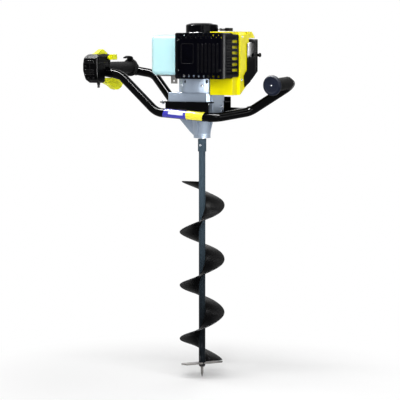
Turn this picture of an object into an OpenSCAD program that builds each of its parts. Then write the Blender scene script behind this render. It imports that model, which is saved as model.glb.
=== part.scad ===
// One-person petrol earth auger: bit, gearbox, handle frame, throttle control and two-stroke engine.
// Millimetres. +Z up, the bit's axis is Z, the origin is the tip of the pilot point.

/* [Auger bit] */
// Length of the bit from pilot tip to sleeve top
bit_len = 800; // [700:5:1000]
// Outer diameter of the helical flight
flight_d = 150; // [80:1:220]
// Rise of the flight in one turn
flight_pitch = 179; // [120:1:200]
// Number of turns of the flight
flight_turns = 3.36; // [2:0.01:3.5]
// Thickness of the flight plate
flight_t = 4; // [2:0.5:6]
// Height of the flight's lower end above the tip
flight_start = 52; // [50:1:70]
// Outer diameter of the bit's centre tube
tube_d = 22; // [21:0.5:25]
// Wall of the bit's centre tube
tube_wall = 3; // [2:0.5:4]
// Outer diameter of the drive sleeve
sleeve_d = 28; // [28:0.5:34]
// Length of the drive sleeve
sleeve_len = 42; // [36:1:60]
// Length of the pilot point below the tube
pilot_len = 40; // [30:1:45]
// Diameter of the pilot point
pilot_d = 9; // [6:0.5:12]
// Thickness of a cutter blade
blade_t = 5; // [3:0.5:6]
// Width of a cutter blade
blade_w = 26; // [16:1:34]
// Diameter of the coupling pin
pin_d = 8; // [5:0.5:9]

/* [Gearbox] */
// Module of both gear stages
gear_module = 1.4; // [1.2:0.05:1.5]
// Teeth on each pinion
pinion_teeth = 10; // [9:1:11]
// Teeth on each wheel
wheel_teeth = 55; // [48:1:56]
// Face width of the output wheel
wheel_w = 12; // [8:1:14]
// Diameter of the output shaft
shaft_d = 20; // [16:0.5:21]
// Diameter of the layshaft and input shaft journals
arbor_d = 12; // [10:0.5:12]
// Outer diameter of the output hub
hub_d = 56; // [52:1:64]
// Height of the cone between hub and gear cup
cone_h = 65; // [60:1:80]
// Wall of the gear cup
cup_wall = 5; // [4:0.5:7]
// Height of the gear cup
cup_h = 56; // [52:1:64]
// Height of the gearbox cover
cover_h = 29; // [25:1:40]
// Play between meshing teeth
backlash = 0.2; // [0.1:0.05:0.4]

/* [Handle frame] */
// Outer diameter of the frame tubes
frame_d = 30; // [24:0.5:32]
// Wall of the frame tubes
frame_wall = 2; // [1.5:0.25:3]
// Bend radius of the frame tubes
bend_r = 58; // [45:1:65]
// Outer diameter of the left cross bar
bar_d = 25; // [20:0.5:25]
// Distance between the two level rails
rail_gap = 160; // [155:1:190]
// Distance between the two legs at the cross bar
leg_gap = 208; // [206:1:224]
// Distance from the bit's axis to the cross bar
bar_reach = 330; // [325:1:380]
// Height of the cross bar above the rails
bar_rise = 144; // [130:1:160]
// Distance from the bit's axis to the right grip's corner
grip_reach = 322; // [315:1:370]
// Height of the right grip above the rails
grip_rise = 103; // [90:1:115]
// Thickness of the mounting plate
plate_t = 4; // [3:0.5:6]
// Height of the mounting plate above the rail axis
plate_rise = 36; // [32:1:42]
// Outer diameter of the grips
grip_d = 42; // [38:0.5:45]
// Diameter of the end flanges on the grips
flange_d = 65; // [56:1:68]

/* [Throttle control] */
// Width of the throttle case
throttle_w = 58; // [54:1:64]
// Length of the throttle case along the bar
throttle_len = 93; // [88:1:100]
// Height of the throttle case
throttle_h = 95; // [92:1:100]
// Width of the trigger and of the lockout lever
trigger_w = 16; // [12:0.5:18]
// Diameter of the trigger's pivot pin
trigger_pin_d = 5; // [4:0.5:6]

/* [Engine] */
// Outer diameter of the clutch housing
bell_d = 152; // [148:1:156]
// Height of the clutch housing
bell_h = 46; // [44:1:56]
// Wall of the clutch housing
bell_wall = 5; // [4:0.5:7]
// Outer diameter of the clutch drum
drum_d = 84; // [76:1:96]
// Height of the crankcase
case_h = 93; // [92:1:98]
// Outer diameter of the crankcase
case_d = 84; // [80:1:86]
// Bore of the cylinder
bore_d = 44; // [36:1:46]
// Number of cooling fins
fin_count = 8; // [6:1:9]
// Thickness of a cooling fin
fin_t = 2.2; // [1.5:0.1:3]
// Diameter of the crankshaft journals
journal_d = 15; // [12:0.5:15]
// Diameter of the flywheel
flywheel_d = 80; // [70:1:82]
// Number of fan blades on the flywheel
blade_count = 12; // [8:1:16]

/* [Covers] */
// Wall of the moulded covers
shell = 2.5; // [2:0.25:3.5]
// Outer diameter of the starter's skirt
skirt_d = 116; // [112:1:118]
// Outer diameter of the starter's dome
dome_d = 107; // [98:1:108]
// Height of the starter's skirt
skirt_h = 59; // [56:1:64]
// Height of the starter's dome
dome_h = 30; // [28:1:40]
// Length of the fuel tank
tank_len = 102; // [80:1:120]
// Depth of the fuel tank
tank_depth = 120; // [100:1:140]
// Height of the fuel tank
tank_h = 133; // [110:1:150]
// Corner radius of the fuel tank
tank_r = 18; // [10:1:24]
// Width of the muffler cover
guard_w = 187; // [185:1:195]
// Height of the muffler cover
guard_h = 149; // [140:1:152]
// Corner radius of the muffler cover
guard_r = 13; // [8:1:18]
// Number of side louvres in the muffler cover
louvre_count = 6; // [4:1:6]
// Height of one louvre
louvre_h = 9; // [6:0.5:11]
// Diameter of the fuel cap
cap_d = 44; // [42:1:54]

/* [Clearances] */
// Radial play of a shaft that turns in its bearing
run = 0.03; // [0.02:0.01:0.08]
// Radial play of pieces that are pushed together
slip = 0.05; // [0.03:0.01:0.1]
// Play beside a moving control
play = 0.5; // [0.3:0.1:1]

/* [Hidden] */
$fn = 64;

// Heights of the stack, each from the one below
hub_gap = 3;
z_hub = bit_len + hub_gap;
z_cup = z_hub + cone_h;
z_split = z_cup + cup_h;
z_bell = z_split + cover_h;
z_case = z_bell + bell_h;
z_skirt = z_case + case_h;
z_dome = z_skirt + skirt_h;
z_top = z_dome + dome_h;

// Bit
pin_z = bit_len - sleeve_len / 2;
tube_seat = 10;
tube_top = bit_len - sleeve_len + tube_seat;
weld = 0.1;
pilot_shank = 20;
flight_step = 12;
// Direction of the flight's lower end, seen from above
flight_first = 53;

// Gears: both stages have the same centre distance, so input and output share the bit's axis
lay_x = -gear_module * (pinion_teeth + wheel_teeth) / 2;
shift = 0.45;
pressure = 20;
wheel_tip = gear_module * (wheel_teeth / 2 + 1 - shift);
pinion_root = gear_module * (pinion_teeth / 2 - 1.25 + shift);
// Relief turned between a pinion and its journal, inside the roots of the teeth
relief_d = 2 * pinion_root - 1;
relief_len = 1.5;
gear_room = 2.7;
cup_floor = 5;
z_wheel1 = z_cup + cup_floor + 5;
z_wheel2 = z_wheel1 + wheel_w + 12;
pinion_over = 2;
cup_r = wheel_tip + gear_room;
cup_flange = 3;
cup_flange_h = 8;

// Bearings: [bore, outer diameter, width]
big_bearing = [shaft_d, 42, 12];
small_bearing = [arbor_d, 28, 8];
main_bearing = [journal_d, 35, 11];
seal_h = 7;
z_seal = z_hub + 2;
z_low_bearing = z_seal + seal_h + 1;
z_mid_bearing = z_cup - big_bearing[2];
z_lay_low = z_cup - 2;
z_lay_top = z_split;
z_in_low = z_split;
z_in_top = z_split + cover_h - small_bearing[2] - 4;
lay_boss_r = small_bearing[1] / 2 + 4;

// Gearbox cover and its bolts
cover_x0 = lay_x - cup_r - cup_wall - 7;
cover_x1 = cup_r + cup_wall + 9;
cover_y = cup_r + cup_wall + 13;
cover_cut = 9;
// Square pad on the right side of housing and cover: [front and rear, lower end, face]
pad_y = 40;
pad_z = z_cup + 16;
pad_x = cover_x1 + 4;
pad_bolts = [[24, pad_z + 8], [24, pad_z + 22]];
pad_bolt_d = 6;
bolt_d = 8;
bolt_head_d = 13;
bolt_head_h = 5;
bolt_play = 0.2;
bolt_inset = 9;
bolt_deep = 16;
bolts = [for (x = [cover_x0 + bolt_inset, cover_x1 - bolt_inset], y = [-1, 1])
    [x, y * (cover_y - bolt_inset)]];
ear_bolt = [cover_x0 - 7, -rail_gap / 2 + 6];
ear_bolt_h = 10;
ear_bolt_d = 6;

// Mounting plate
plate_x0 = cover_x0 - 14;
plate_x1 = cover_x1 + 9;
plate_y = rail_gap / 2 + 2;
lug_w = 28;
lug_h = 14;

// Handle frame, as points on the tubes' axes
rail_y = rail_gap / 2;
leg_y = leg_gap / 2;
rear_leg_y = leg_y + 14;
leg_drop = 11;
rail_z = z_split - plate_rise;
bar_z = rail_z + bar_rise;
knee_x = -bar_reach + 80;
knee_z = bar_z - 11 - leg_drop;
rail_x0 = -128;
rail_x1 = 95;
// The front rail bows out and sinks towards its right end
front_rail = [rail_x1, -rail_y - 10, rail_z - 14];
rear_rail = [rail_x1, rail_y, rail_z];
joint = [178, -2, rail_z + 5];
grip_z = rail_z + grip_rise;
corner = [grip_reach, 45, grip_z];
grip_dir = unit([-14, -150, -9]);
grip_len = 158;
handle_dir = unit(corner - joint);
handle_bend = 33;
grip_start = handle_bend * tan(acos(handle_dir * grip_dir) / 2) + 4;
handle_stub = 28;
bar_front = -152;
bar_rear = rear_leg_y + 16;
bend_lap = 0.6;
bend_thin = 0.1;

// Throttle control: [left, right], [front, rear] and [bottom, top] of the case
case_x0 = -bar_reach - throttle_w / 2;
case_x1 = -bar_reach + throttle_w / 2;
case_y1 = -79;
case_y0 = case_y1 - throttle_len;
case_z1 = bar_z + 47;
case_z0 = case_z1 - throttle_h;
pivot_y = case_y0 + 40;
pivot_z = case_z0 + 14;
lock_y = case_y0 + 32;
lock_z = case_z1 - 6;
leg_notch = frame_d / 2 + 2;
switch_z = case_z1 - 10;
switch_y = case_y1 - 9;
switch_travel = 6;
adjuster = [case_x1 - 11, case_y0 + 28];

// Engine
crank_z = z_case + 56;
throw = 14;
web_r = 30;
web_t = 8.5;
crank_room = case_d / 2 - 9;
z_main_low = crank_z - 31;
z_main_top = crank_z + 20;
case_flange_h = 7;
base_flange_d = bell_d - 4;
barrel_x0 = case_d / 2 + 4;
barrel_r = bore_d / 2 + 5;
base_half = 29;
fin_pitch = 8;
fin_x0 = barrel_x0 + 14;
fin_y = 36;
fin_z = 40;
head_x = fin_x0 + (fin_count - 1) * fin_pitch + fin_t;
port_x = fin_x0 + 18;
exhaust_y = -45;
intake_y = 46;
carb_len = 35.5;
z_drum = z_bell + 9;
drum_wall = 3;
shoe_gap = 1.5;
carrier_z = z_case - 15;
stud_x = 25;
stud_d = 8;

// Covers
guard_x1 = head_x + 30;
guard_x0 = guard_x1 - guard_w;
guard_y0 = -125;
guard_y1 = -(skirt_d / 2 + 4);
guard_z0 = z_case + 1;
guard_z1 = guard_z0 + guard_h;
guard_side_y = -25;
cowl_x0 = skirt_d / 2 + 2;
cowl_x1 = guard_x1 + 3;
cowl_front_x1 = guard_x1 - 6;
cowl_y0 = guard_y1 + 4;
cowl_y1 = 42;
cowl_mid_y = guard_side_y + 3;
cowl_z0 = z_bell - 6;
cowl_z1 = z_dome + 2;
under_rise = 0.62;
eave_y = cowl_y1 + 42;
filter_x0 = cowl_x0 + 4;
filter_x1 = cowl_x1 + 4;
filter_y0 = intake_y;
filter_y1 = filter_y0 + carb_len + shell;
filter_y2 = filter_y1 + 34;
filter_z0 = z_case - 15;
filter_z1 = cowl_z1 - 23;
filter_r = 14;
choke = [filter_y0 + 22, filter_z1 - 54];
tank_x1 = -(skirt_d / 2 + 4);
tank_x0 = tank_x1 - tank_len;
tank_z0 = z_case + case_flange_h + 3;
tank_z1 = tank_z0 + tank_h;
neck_d = 32;
neck_len = 10;
neck = [(tank_x0 + tank_x1) / 2, tank_z1 - cap_d / 2 - 10];
muffler_y0 = guard_y0 + 13;
muffler_y1 = guard_y1 - 4;
muffler_r = 14;
rope_y = 30;
rope_d = 3.5;
rope_z = z_dome + 9;
handle_x0 = skirt_d / 2 - 8;
reel_z0 = rope_z - 6;
reel_h = 12;
spring_h = 7;

// Height of the underside of cowl and filter, which rises towards the rear
function under_z(y) = cowl_z0 + under_rise * (y - cowl_mid_y);
// Vectors and points
function unit(v) = v / norm(v);
function spin(p, a) = [p[0] * cos(a) - p[1] * sin(a), p[0] * sin(a) + p[1] * cos(a)];
// Rounded rectangle, counter-clockwise, each corner an arc of n steps
function rounded(lo, hi, r, n = 6) = [
    for (c = [[hi[0] - r, hi[1] - r, 0], [lo[0] + r, hi[1] - r, 90],
              [lo[0] + r, lo[1] + r, 180], [hi[0] - r, lo[1] + r, 270]])
        for (i = [0:n])
            [c[0] + r * cos(c[2] + 90 * i / n), c[1] + r * sin(c[2] + 90 * i / n)]];

// Involute of the base circle: the angle, in degrees, swept at a pressure angle
function involute(a) = tan(a) * 180 / PI - a;
// Half the tooth's angle at radius r
function half_tooth(teeth, x, r) =
    let (pitch_r = gear_module * teeth / 2, base_r = pitch_r * cos(pressure),
         thick = gear_module * (PI / 2 + 2 * x * tan(pressure)) - backlash / 2)
    thick / pitch_r * 90 / PI + involute(pressure) - involute(acos(min(1, base_r / r)));
// Outline of a gear with its profile shifted by x modules
function gear_outline(teeth, x, steps) =
    let (pitch_r = gear_module * teeth / 2, base_r = pitch_r * cos(pressure),
         tip_r = pitch_r + gear_module * (1 + x), root_r = pitch_r - gear_module * (1.25 - x),
         low_r = max(base_r, root_r),
         flank = [for (i = [0:steps]) let (r = low_r + (tip_r - low_r) * i / steps)
                  [r, half_tooth(teeth, x, r)]])
    [for (t = [0:teeth - 1]) let (mid = 360 * t / teeth)
        each concat(
            [[root_r * cos(mid - flank[0][1]), root_r * sin(mid - flank[0][1])]],
            [for (f = flank) [f[0] * cos(mid - f[1]), f[0] * sin(mid - f[1])]],
            [for (i = [steps:-1:0]) [flank[i][0] * cos(mid + flank[i][1]), flank[i][0] * sin(mid + flank[i][1])]],
            [[root_r * cos(mid + flank[0][1]), root_r * sin(mid + flank[0][1])]])];

// Solids named by the direction that they run in
module box(lo, hi) {
    translate(lo) cube(hi - lo);
}
module rod_x(x0, x1, y, z, d) {
    translate([x0, y, z]) rotate([0, 90, 0]) cylinder(h = x1 - x0, d = d);
}
module rod_y(y0, y1, x, z, d) {
    translate([x, y0, z]) rotate([-90, 0, 0]) cylinder(h = y1 - y0, d = d);
}
module rod_z(z0, z1, x, y, d) {
    translate([x, y, z0]) cylinder(h = z1 - z0, d = d);
}
module prism_x(outline, x0, x1) {
    translate([x0, 0, 0]) rotate([90, 0, 90]) linear_extrude(x1 - x0) polygon(outline);
}
module prism_y(outline, y0, y1) {
    translate([0, y1, 0]) rotate([90, 0, 0]) linear_extrude(y1 - y0) polygon(outline);
}
module prism_z(outline, z0, z1) {
    translate([0, 0, z0]) linear_extrude(z1 - z0) polygon(outline);
}
// Box whose corners are round seen from the front and seen from above
module soft_box(lo, hi, r) {
    intersection() {
        prism_y(rounded([lo[0], lo[2]], [hi[0], hi[2]], r), lo[1], hi[1]);
        prism_z(rounded([lo[0], lo[1]], [hi[0], hi[1]], r), lo[2], hi[2]);
    }
}
module ring(od, id, h) {
    difference() {
        cylinder(h = h, d = od);
        translate([0, 0, -1]) cylinder(h = h + 2, d = id);
    }
}
// Capsule outline between the output axis and the layshaft axis
module capsule(r, z0, z1) {
    rod_z(z0, z1, 0, 0, 2 * r);
    rod_z(z0, z1, lay_x, 0, 2 * r);
    box([lay_x, -r, z0], [0, r, z1]);
}
// Ball bearing seen as one ring with a shallow groove in each side
module bearing(size) {
    inner = size[0] / 2 + run;
    outer = size[1] / 2;
    mid = (inner + outer) / 2;
    groove = (outer - inner) / 6;
    dip = 0.8;
    rotate_extrude()
        polygon([[inner, 0], [mid - groove, 0], [mid - groove, dip], [mid + groove, dip], [mid + groove, 0],
                 [outer, 0], [outer, size[2]], [mid + groove, size[2]], [mid + groove, size[2] - dip],
                 [mid - groove, size[2] - dip], [mid - groove, size[2]], [inner, size[2]]]);
}
module bearing_seat(size, z, x = 0) {
    rod_z(z, z + size[2], x, 0, size[1] + 2 * slip);
}
// Turned bar along Z from a list of [z0, z1, diameter]
module turned(steps) {
    for (s = steps) {
        rod_z(s[0], s[1], 0, 0, s[2]);
    }
}

// Frame whose z axis points along d
function frame_along(d, p) =
    let (side = unit(cross(abs(d[2]) < 0.9 ? [0, 0, 1] : [1, 0, 0], d)), up = cross(d, side))
    [[side[0], up[0], d[0], p[0]], [side[1], up[1], d[1], p[1]], [side[2], up[2], d[2], p[2]], [0, 0, 0, 1]];
module hollow(d, wall, h) {
    difference() {
        cylinder(h = h, d = d);
        translate([0, 0, -1]) cylinder(h = h + 2, d = d - 2 * wall);
    }
}
// Bent tube through a list of points, each inner point rounded to its bend radius.
// The wall is drawn thinner in a bend, and a straight run laps a little way into it.
module bent_tube(points, radii, d, wall) {
    last = len(points) - 1;
    dirs = [for (i = [0:last - 1]) unit(points[i + 1] - points[i])];
    bends = [for (i = [0:last]) i == 0 || i == last ? 0 : acos(dirs[i - 1] * dirs[i])];
    cuts = [for (i = [0:last]) i == 0 || i == last ? 0 : radii[i - 1] * tan(bends[i] / 2)];
    for (i = [0:last - 1]) {
        before = i == 0 ? 0 : bend_lap;
        after = i == last - 1 ? 0 : bend_lap;
        start = points[i] + dirs[i] * (cuts[i] - before);
        span = norm(points[i + 1] - points[i]) - cuts[i] - cuts[i + 1] + before + after;
        multmatrix(frame_along(dirs[i], start)) hollow(d, wall, span);
    }
    for (i = [1:last - 1]) {
        inward = unit(dirs[i] - dirs[i - 1] * (dirs[i] * dirs[i - 1]));
        centre = points[i] - dirs[i - 1] * cuts[i] + inward * radii[i - 1];
        out = -inward;
        along = dirs[i - 1];
        up = cross(out, along);
        multmatrix([[out[0], along[0], up[0], centre[0]], [out[1], along[1], up[1], centre[1]],
                    [out[2], along[2], up[2], centre[2]], [0, 0, 0, 1]])
            rotate_extrude(angle = bends[i])
                translate([radii[i - 1], 0])
                    difference() {
                        circle(d = d - 2 * bend_thin);
                        circle(d = d - 2 * wall + 2 * bend_thin);
                    }
    }
}

// Bit
module auger_tube() {
    color("slategray")
    difference() {
        union() {
            rod_z(pilot_len, tube_top, 0, 0, tube_d);
            rod_z(bit_len - sleeve_len, bit_len, 0, 0, sleeve_d);
        }
        rod_z(pilot_len - 1, tube_top - tube_seat - 4, 0, 0, tube_d - 2 * tube_wall);
        rod_z(tube_top, bit_len + 1, 0, 0, shaft_d + 2 * slip);
        rod_y(-sleeve_d, sleeve_d, 0, pin_z, pin_d + 2 * slip);
    }
}
// Flight: a strip of constant thickness that winds round the tube, right-handed
module auger_flight() {
    inner = (tube_d / 2 + weld) / cos(flight_step / 2);
    outer = flight_d / 2;
    steps = round(flight_turns * 360 / flight_step);
    points = [for (i = [0:steps]) let (a = flight_first + 360 * flight_turns * i / steps,
                                       z = flight_start + flight_pitch * flight_turns * i / steps)
        each [[inner * cos(a), inner * sin(a), z], [outer * cos(a), outer * sin(a), z],
              [outer * cos(a), outer * sin(a), z + flight_t], [inner * cos(a), inner * sin(a), z + flight_t]]];
    walls = [for (i = [0:steps - 1], k = [0:3]) let (a = 4 * i + k, b = 4 * i + (k + 1) % 4)
        each [[a, a + 4, b], [b, a + 4, b + 4]]];
    n = 4 * steps;
    ends = [[0, 1, 2], [0, 2, 3], [n, n + 2, n + 1], [n, n + 3, n + 2]];
    color("dimgray") polyhedron(points = points, faces = concat(walls, ends), convexity = 10);
}
module auger_pilot() {
    color("gray")
    rotate_extrude()
        polygon([[0, 0], [pilot_d / 2, pilot_len * 0.4], [pilot_d / 2, pilot_len - 6],
                 [tube_d / 2, pilot_len], [tube_d / 2 - tube_wall - slip, pilot_len],
                 [tube_d / 2 - tube_wall - slip, pilot_len + pilot_shank], [0, pilot_len + pilot_shank]]);
}
// Two ground blades, one under the flight's lower end and one across from it
module cutter_blades() {
    reach = flight_d / 2 - 2;
    root = 2;
    edge = 6;
    top = flight_start - 1;
    color("silver")
    for (turn = [flight_first, flight_first + 180]) {
        difference() {
            rotate([0, 0, turn])
                translate([0, 0, top - blade_t])
                    linear_extrude(blade_t)
                        polygon([[root, -blade_w / 2], [reach - edge, -blade_w / 2], [reach, -blade_w / 2 + edge],
                                 [reach - 2 * edge, blade_w / 2], [root, blade_w / 2]]);
            rod_z(0, bit_len, 0, 0, tube_d + 2 * weld);
        }
    }
}
module coupling_pin() {
    color("gainsboro")
    rod_y(-sleeve_d / 2, sleeve_d / 2, 0, pin_z, pin_d);
}

// Gearbox
module output_shaft() {
    color("silver")
    difference() {
        turned([[tube_top, z_wheel1 + wheel_w + 2, shaft_d],
                [z_mid_bearing + big_bearing[2], z_wheel1, shaft_d + 6]]);
        rod_y(-shaft_d, shaft_d, 0, pin_z, pin_d + 2 * slip);
    }
}
module wheel(bore) {
    web = wheel_tip - 10;
    dish = 3;
    difference() {
        prism_z(gear_outline(wheel_teeth, -shift, 3), 0, wheel_w);
        translate([0, 0, -1]) cylinder(h = wheel_w + 2, d = bore + 2 * slip);
        for (z = [-1, wheel_w - dish]) {
            translate([0, 0, z]) ring(2 * web, bore + 12, dish + 1);
        }
    }
}
module output_gear() {
    color("lightsteelblue")
    translate([0, 0, z_wheel1]) rotate([0, 0, 180]) wheel(shaft_d);
}
module pinion(z0, z1) {
    translate([0, 0, z0])
        rotate([0, 0, 180 / pinion_teeth])
            linear_extrude(z1 - z0) polygon(gear_outline(pinion_teeth, shift, 5));
}
module layshaft() {
    low = z_wheel1 - pinion_over;
    top = z_wheel1 + wheel_w + pinion_over;
    color("lightgray")
    translate([lay_x, 0, 0]) {
        turned([[z_lay_low, low - relief_len, arbor_d], [low - relief_len, top + relief_len, relief_d],
                [top + relief_len, z_lay_top + small_bearing[2], arbor_d]]);
        pinion(low, top);
    }
}
module layshaft_gear() {
    color("lightsteelblue")
    translate([lay_x, 0, z_wheel2]) wheel(arbor_d);
}
module input_shaft() {
    low = z_wheel2 - pinion_over / 2;
    top = z_wheel2 + wheel_w + pinion_over / 2;
    color("lightgray") {
        pinion(low, top);
        turned([[low, top + relief_len, relief_d], [top + relief_len, z_drum + 8, arbor_d]]);
    }
}
module shaft_bearings() {
    color("silver") {
        for (z = [z_low_bearing, z_mid_bearing]) {
            translate([0, 0, z]) bearing(big_bearing);
        }
        for (p = [[lay_x, z_lay_low], [lay_x, z_lay_top], [0, z_in_low], [0, z_in_top]]) {
            translate([p[0], 0, p[1]]) bearing(small_bearing);
        }
        for (z = [z_main_low, z_main_top]) {
            translate([0, 0, z]) bearing(main_bearing);
        }
    }
}
module output_seal() {
    color("black")
    translate([0, 0, z_seal]) ring(big_bearing[1], shaft_d + 2 * run, seal_h);
}
module gearbox_housing() {
    web_t = 6;
    fin_low = 15;
    color("silver")
    difference() {
        union() {
            translate([0, 0, z_hub]) cylinder(h = fin_low, d = hub_d);
            translate([0, 0, z_hub + fin_low])
                cylinder(h = cone_h - fin_low, d1 = hub_d, d2 = hub_d + 16);
            capsule(cup_r + cup_wall, z_cup, z_split);
            capsule(cup_r + cup_wall + cup_flange, z_split - cup_flange_h, z_split);
            box([0, -pad_y, pad_z], [pad_x, pad_y, z_split]);
            rod_z(z_lay_low - 5, z_cup, lay_x, 0, 2 * lay_boss_r);
            prism_y([[lay_x - cup_r, z_cup], [lay_x + 2, z_hub + fin_low + 4], [-hub_d / 2, z_hub + 6],
                     [0, z_hub + 6], [0, z_cup]], -web_t / 2, web_t / 2);
            prism_y([[cup_r, z_cup], [cup_r - 12, z_hub + fin_low + 4], [hub_d / 2, z_hub + 6],
                     [0, z_hub + 6], [0, z_cup]], -web_t / 2, web_t / 2);
            prism_x([[cup_r, z_cup], [hub_d / 2, z_hub + 6], [-hub_d / 2, z_hub + 6], [-cup_r, z_cup]],
                    -web_t / 2, web_t / 2);
        }
        capsule(cup_r, z_cup + cup_floor, z_split + 1);
        rod_z(z_hub - 1, z_split, 0, 0, shaft_d + 10);
        rod_z(z_hub - 1, z_low_bearing + big_bearing[2], 0, 0, big_bearing[1] + 2 * slip);
        rod_z(z_mid_bearing, z_split, 0, 0, big_bearing[1] + 2 * slip);
        rod_z(z_lay_low, z_split, lay_x, 0, small_bearing[1] + 2 * slip);
        for (b = pad_bolts) {
            rod_x(pad_x - bolt_deep / 2, pad_x + 1, b[0], b[1], pad_bolt_d + 2 * bolt_play);
        }
    }
}
module gearbox_cover() {
    color("gainsboro")
    difference() {
        union() {
            prism_z([[cover_x0 + cover_cut, -cover_y], [cover_x1 - cover_cut, -cover_y],
                     [cover_x1, -cover_y + cover_cut], [cover_x1, cover_y - cover_cut],
                     [cover_x1 - cover_cut, cover_y], [cover_x0 + cover_cut, cover_y],
                     [cover_x0, cover_y - cover_cut], [cover_x0, -cover_y + cover_cut]], z_split, z_bell);
            box([0, -pad_y, z_split], [pad_x, pad_y, z_bell]);
        }
        rod_z(z_split - 1, z_bell + 1, 0, 0, arbor_d + 6);
        bearing_seat(small_bearing, z_in_low);
        rod_z(z_in_top, z_bell + 1, 0, 0, small_bearing[1] + 2 * slip);
        bearing_seat(small_bearing, z_lay_top, lay_x);
        for (b = bolts) {
            rod_z(z_split - 1, z_split + bolt_deep + 2, b[0], b[1], bolt_d + 2 * bolt_play);
        }
    }
}
module gearbox_bolts() {
    under = z_split - plate_t - bolt_head_h;
    color("dimgray") {
        for (b = bolts) {
            rod_z(under, z_split + bolt_deep, b[0], b[1], bolt_d);
            translate([b[0], b[1], under]) cylinder(h = bolt_head_h, d = bolt_head_d, $fn = 6);
        }
        rod_z(under, z_split + ear_bolt_h, ear_bolt[0], ear_bolt[1], ear_bolt_d);
        translate([ear_bolt[0], ear_bolt[1], under]) cylinder(h = bolt_head_h, d = bolt_head_d - 2, $fn = 6);
        for (b = pad_bolts) {
            rod_x(pad_x - bolt_deep / 2 + 1, pad_x, b[0], b[1], pad_bolt_d);
            translate([pad_x, b[0], b[1]]) rotate([0, 90, 0])
                cylinder(h = bolt_head_h - 1, d = bolt_head_d - 3, $fn = 6);
        }
    }
}

// Handle frame
module mounting_plate() {
    lip_x0 = plate_x0 + 20;
    color("black")
    difference() {
        union() {
            box([plate_x0, -plate_y, z_split - plate_t], [plate_x1, plate_y, z_split]);
            for (end = [front_rail, rear_rail]) {
                prism_y([[lip_x0, rail_z], [plate_x1, end[2]], [plate_x1, z_split], [lip_x0, z_split]],
                        end[1] < 0 ? -plate_y : plate_y - plate_t, end[1] < 0 ? -plate_y + plate_t : plate_y);
            }
            box([plate_x1 - lug_w, plate_y - plate_t, rail_z], [plate_x1, plate_y, z_split + lug_h]);
        }
        for (end = [front_rail, rear_rail]) {
            start = [rail_x0, end[1] < 0 ? -rail_y : rail_y, rail_z];
            along = unit(end - start);
            multmatrix(frame_along(along, start - along * frame_d))
                cylinder(h = norm(end - start) + 2 * frame_d, d = frame_d + 2 * weld);
        }
        capsule(cup_r + cup_wall + cup_flange + slip, z_split - plate_t - 1, z_split + 1);
        box([0, -pad_y - slip, z_split - plate_t - 1], [plate_x1 + 1, pad_y + slip, z_split + 1]);
        for (b = bolts) {
            rod_z(z_split - plate_t - 1, z_split + 1, b[0], b[1], bolt_d + 2 * bolt_play);
        }
        rod_z(z_split - plate_t - 1, z_split + 1, ear_bolt[0], ear_bolt[1], ear_bolt_d + 2 * bolt_play);
    }
}
module handle_bar() {
    color("black")
    rotate([90, 0, 0]) translate([-bar_reach, bar_z, -bar_rear]) hollow(bar_d, frame_wall, bar_rear - bar_front);
}
// One side of the loop: cross bar, leg, level rail, right-hand joint; side is -1 in front and 1 behind
module frame_side(side) {
    y = side < 0 ? -leg_y : rear_leg_y;
    difference() {
        bent_tube([[-bar_reach + bar_d / 3, y, bar_z - leg_drop], [knee_x, y, knee_z],
                   [rail_x0, side * rail_y, rail_z], side < 0 ? front_rail : rear_rail, joint],
                  [bend_r, bend_r, bend_r], frame_d, frame_wall);
        rod_y(-2 * leg_y, 2 * leg_y, -bar_reach, bar_z, bar_d + 2 * weld);
        multmatrix(frame_along(handle_dir, joint - handle_dir * 200))
            cylinder(h = 400, d = frame_d + 2 * weld);
        box([joint[0] - 100, side < 0 ? joint[1] - weld : joint[1] - 200, joint[2] - 100],
            [joint[0] + 100, side < 0 ? joint[1] + 200 : joint[1] + weld, joint[2] + 100]);
    }
}
module front_frame_tube() {
    color("black") frame_side(-1);
}
module rear_frame_tube() {
    color("black") frame_side(1);
}
module right_handle_tube() {
    color("black")
    bent_tube([joint - handle_dir * handle_stub, corner, corner + grip_dir * (grip_len - 8 - weld)],
              [handle_bend], frame_d, frame_wall);
}
// Ribbed sleeve from s0 to s1 round a bore
function grip_ribs(s0, s1, count, dip) =
    let (pitch = (s1 - s0) / count, r = grip_d / 2)
    [for (i = [0:count - 1]) each [[r - dip, s0 + pitch * i], [r, s0 + pitch * (i + 0.25)],
                                   [r, s0 + pitch * (i + 0.75)], [r - dip, s0 + pitch * (i + 1) - 0.01]]];
module left_grip() {
    y0 = -leg_y + frame_d / 2 + 14;
    y1 = rear_leg_y - frame_d / 2 - 4;
    collar = 6;
    brim = flange_d / 2 - 2;
    bore = bar_d / 2 + slip;
    color("black")
    translate([-bar_reach, 0, bar_z])
        rotate([-90, 0, 0])
            rotate_extrude()
                polygon(concat([[bore, y0]], grip_ribs(y0, y1 - collar, 12, 0.8),
                               [[brim - 1, y1 - collar], [brim, y1 - collar + 1], [brim, y1], [bore, y1]]));
}
module right_grip() {
    bore = frame_d / 2 + slip;
    collar = 8;
    color("black")
    multmatrix(frame_along(grip_dir, corner))
        rotate_extrude()
            polygon(concat([[bore, grip_start]], grip_ribs(grip_start, grip_len - collar - 4, 10, 1),
                           [[flange_d / 2 - 2, grip_len - collar - 4], [flange_d / 2, grip_len - collar - 2],
                            [flange_d / 2, grip_len - 2], [flange_d / 2 - 3, grip_len + 1], [3, grip_len + 1],
                            [3, grip_len - 2], [0, grip_len - 2], [0, grip_len - 8], [bore, grip_len - 8]]));
}

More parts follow.
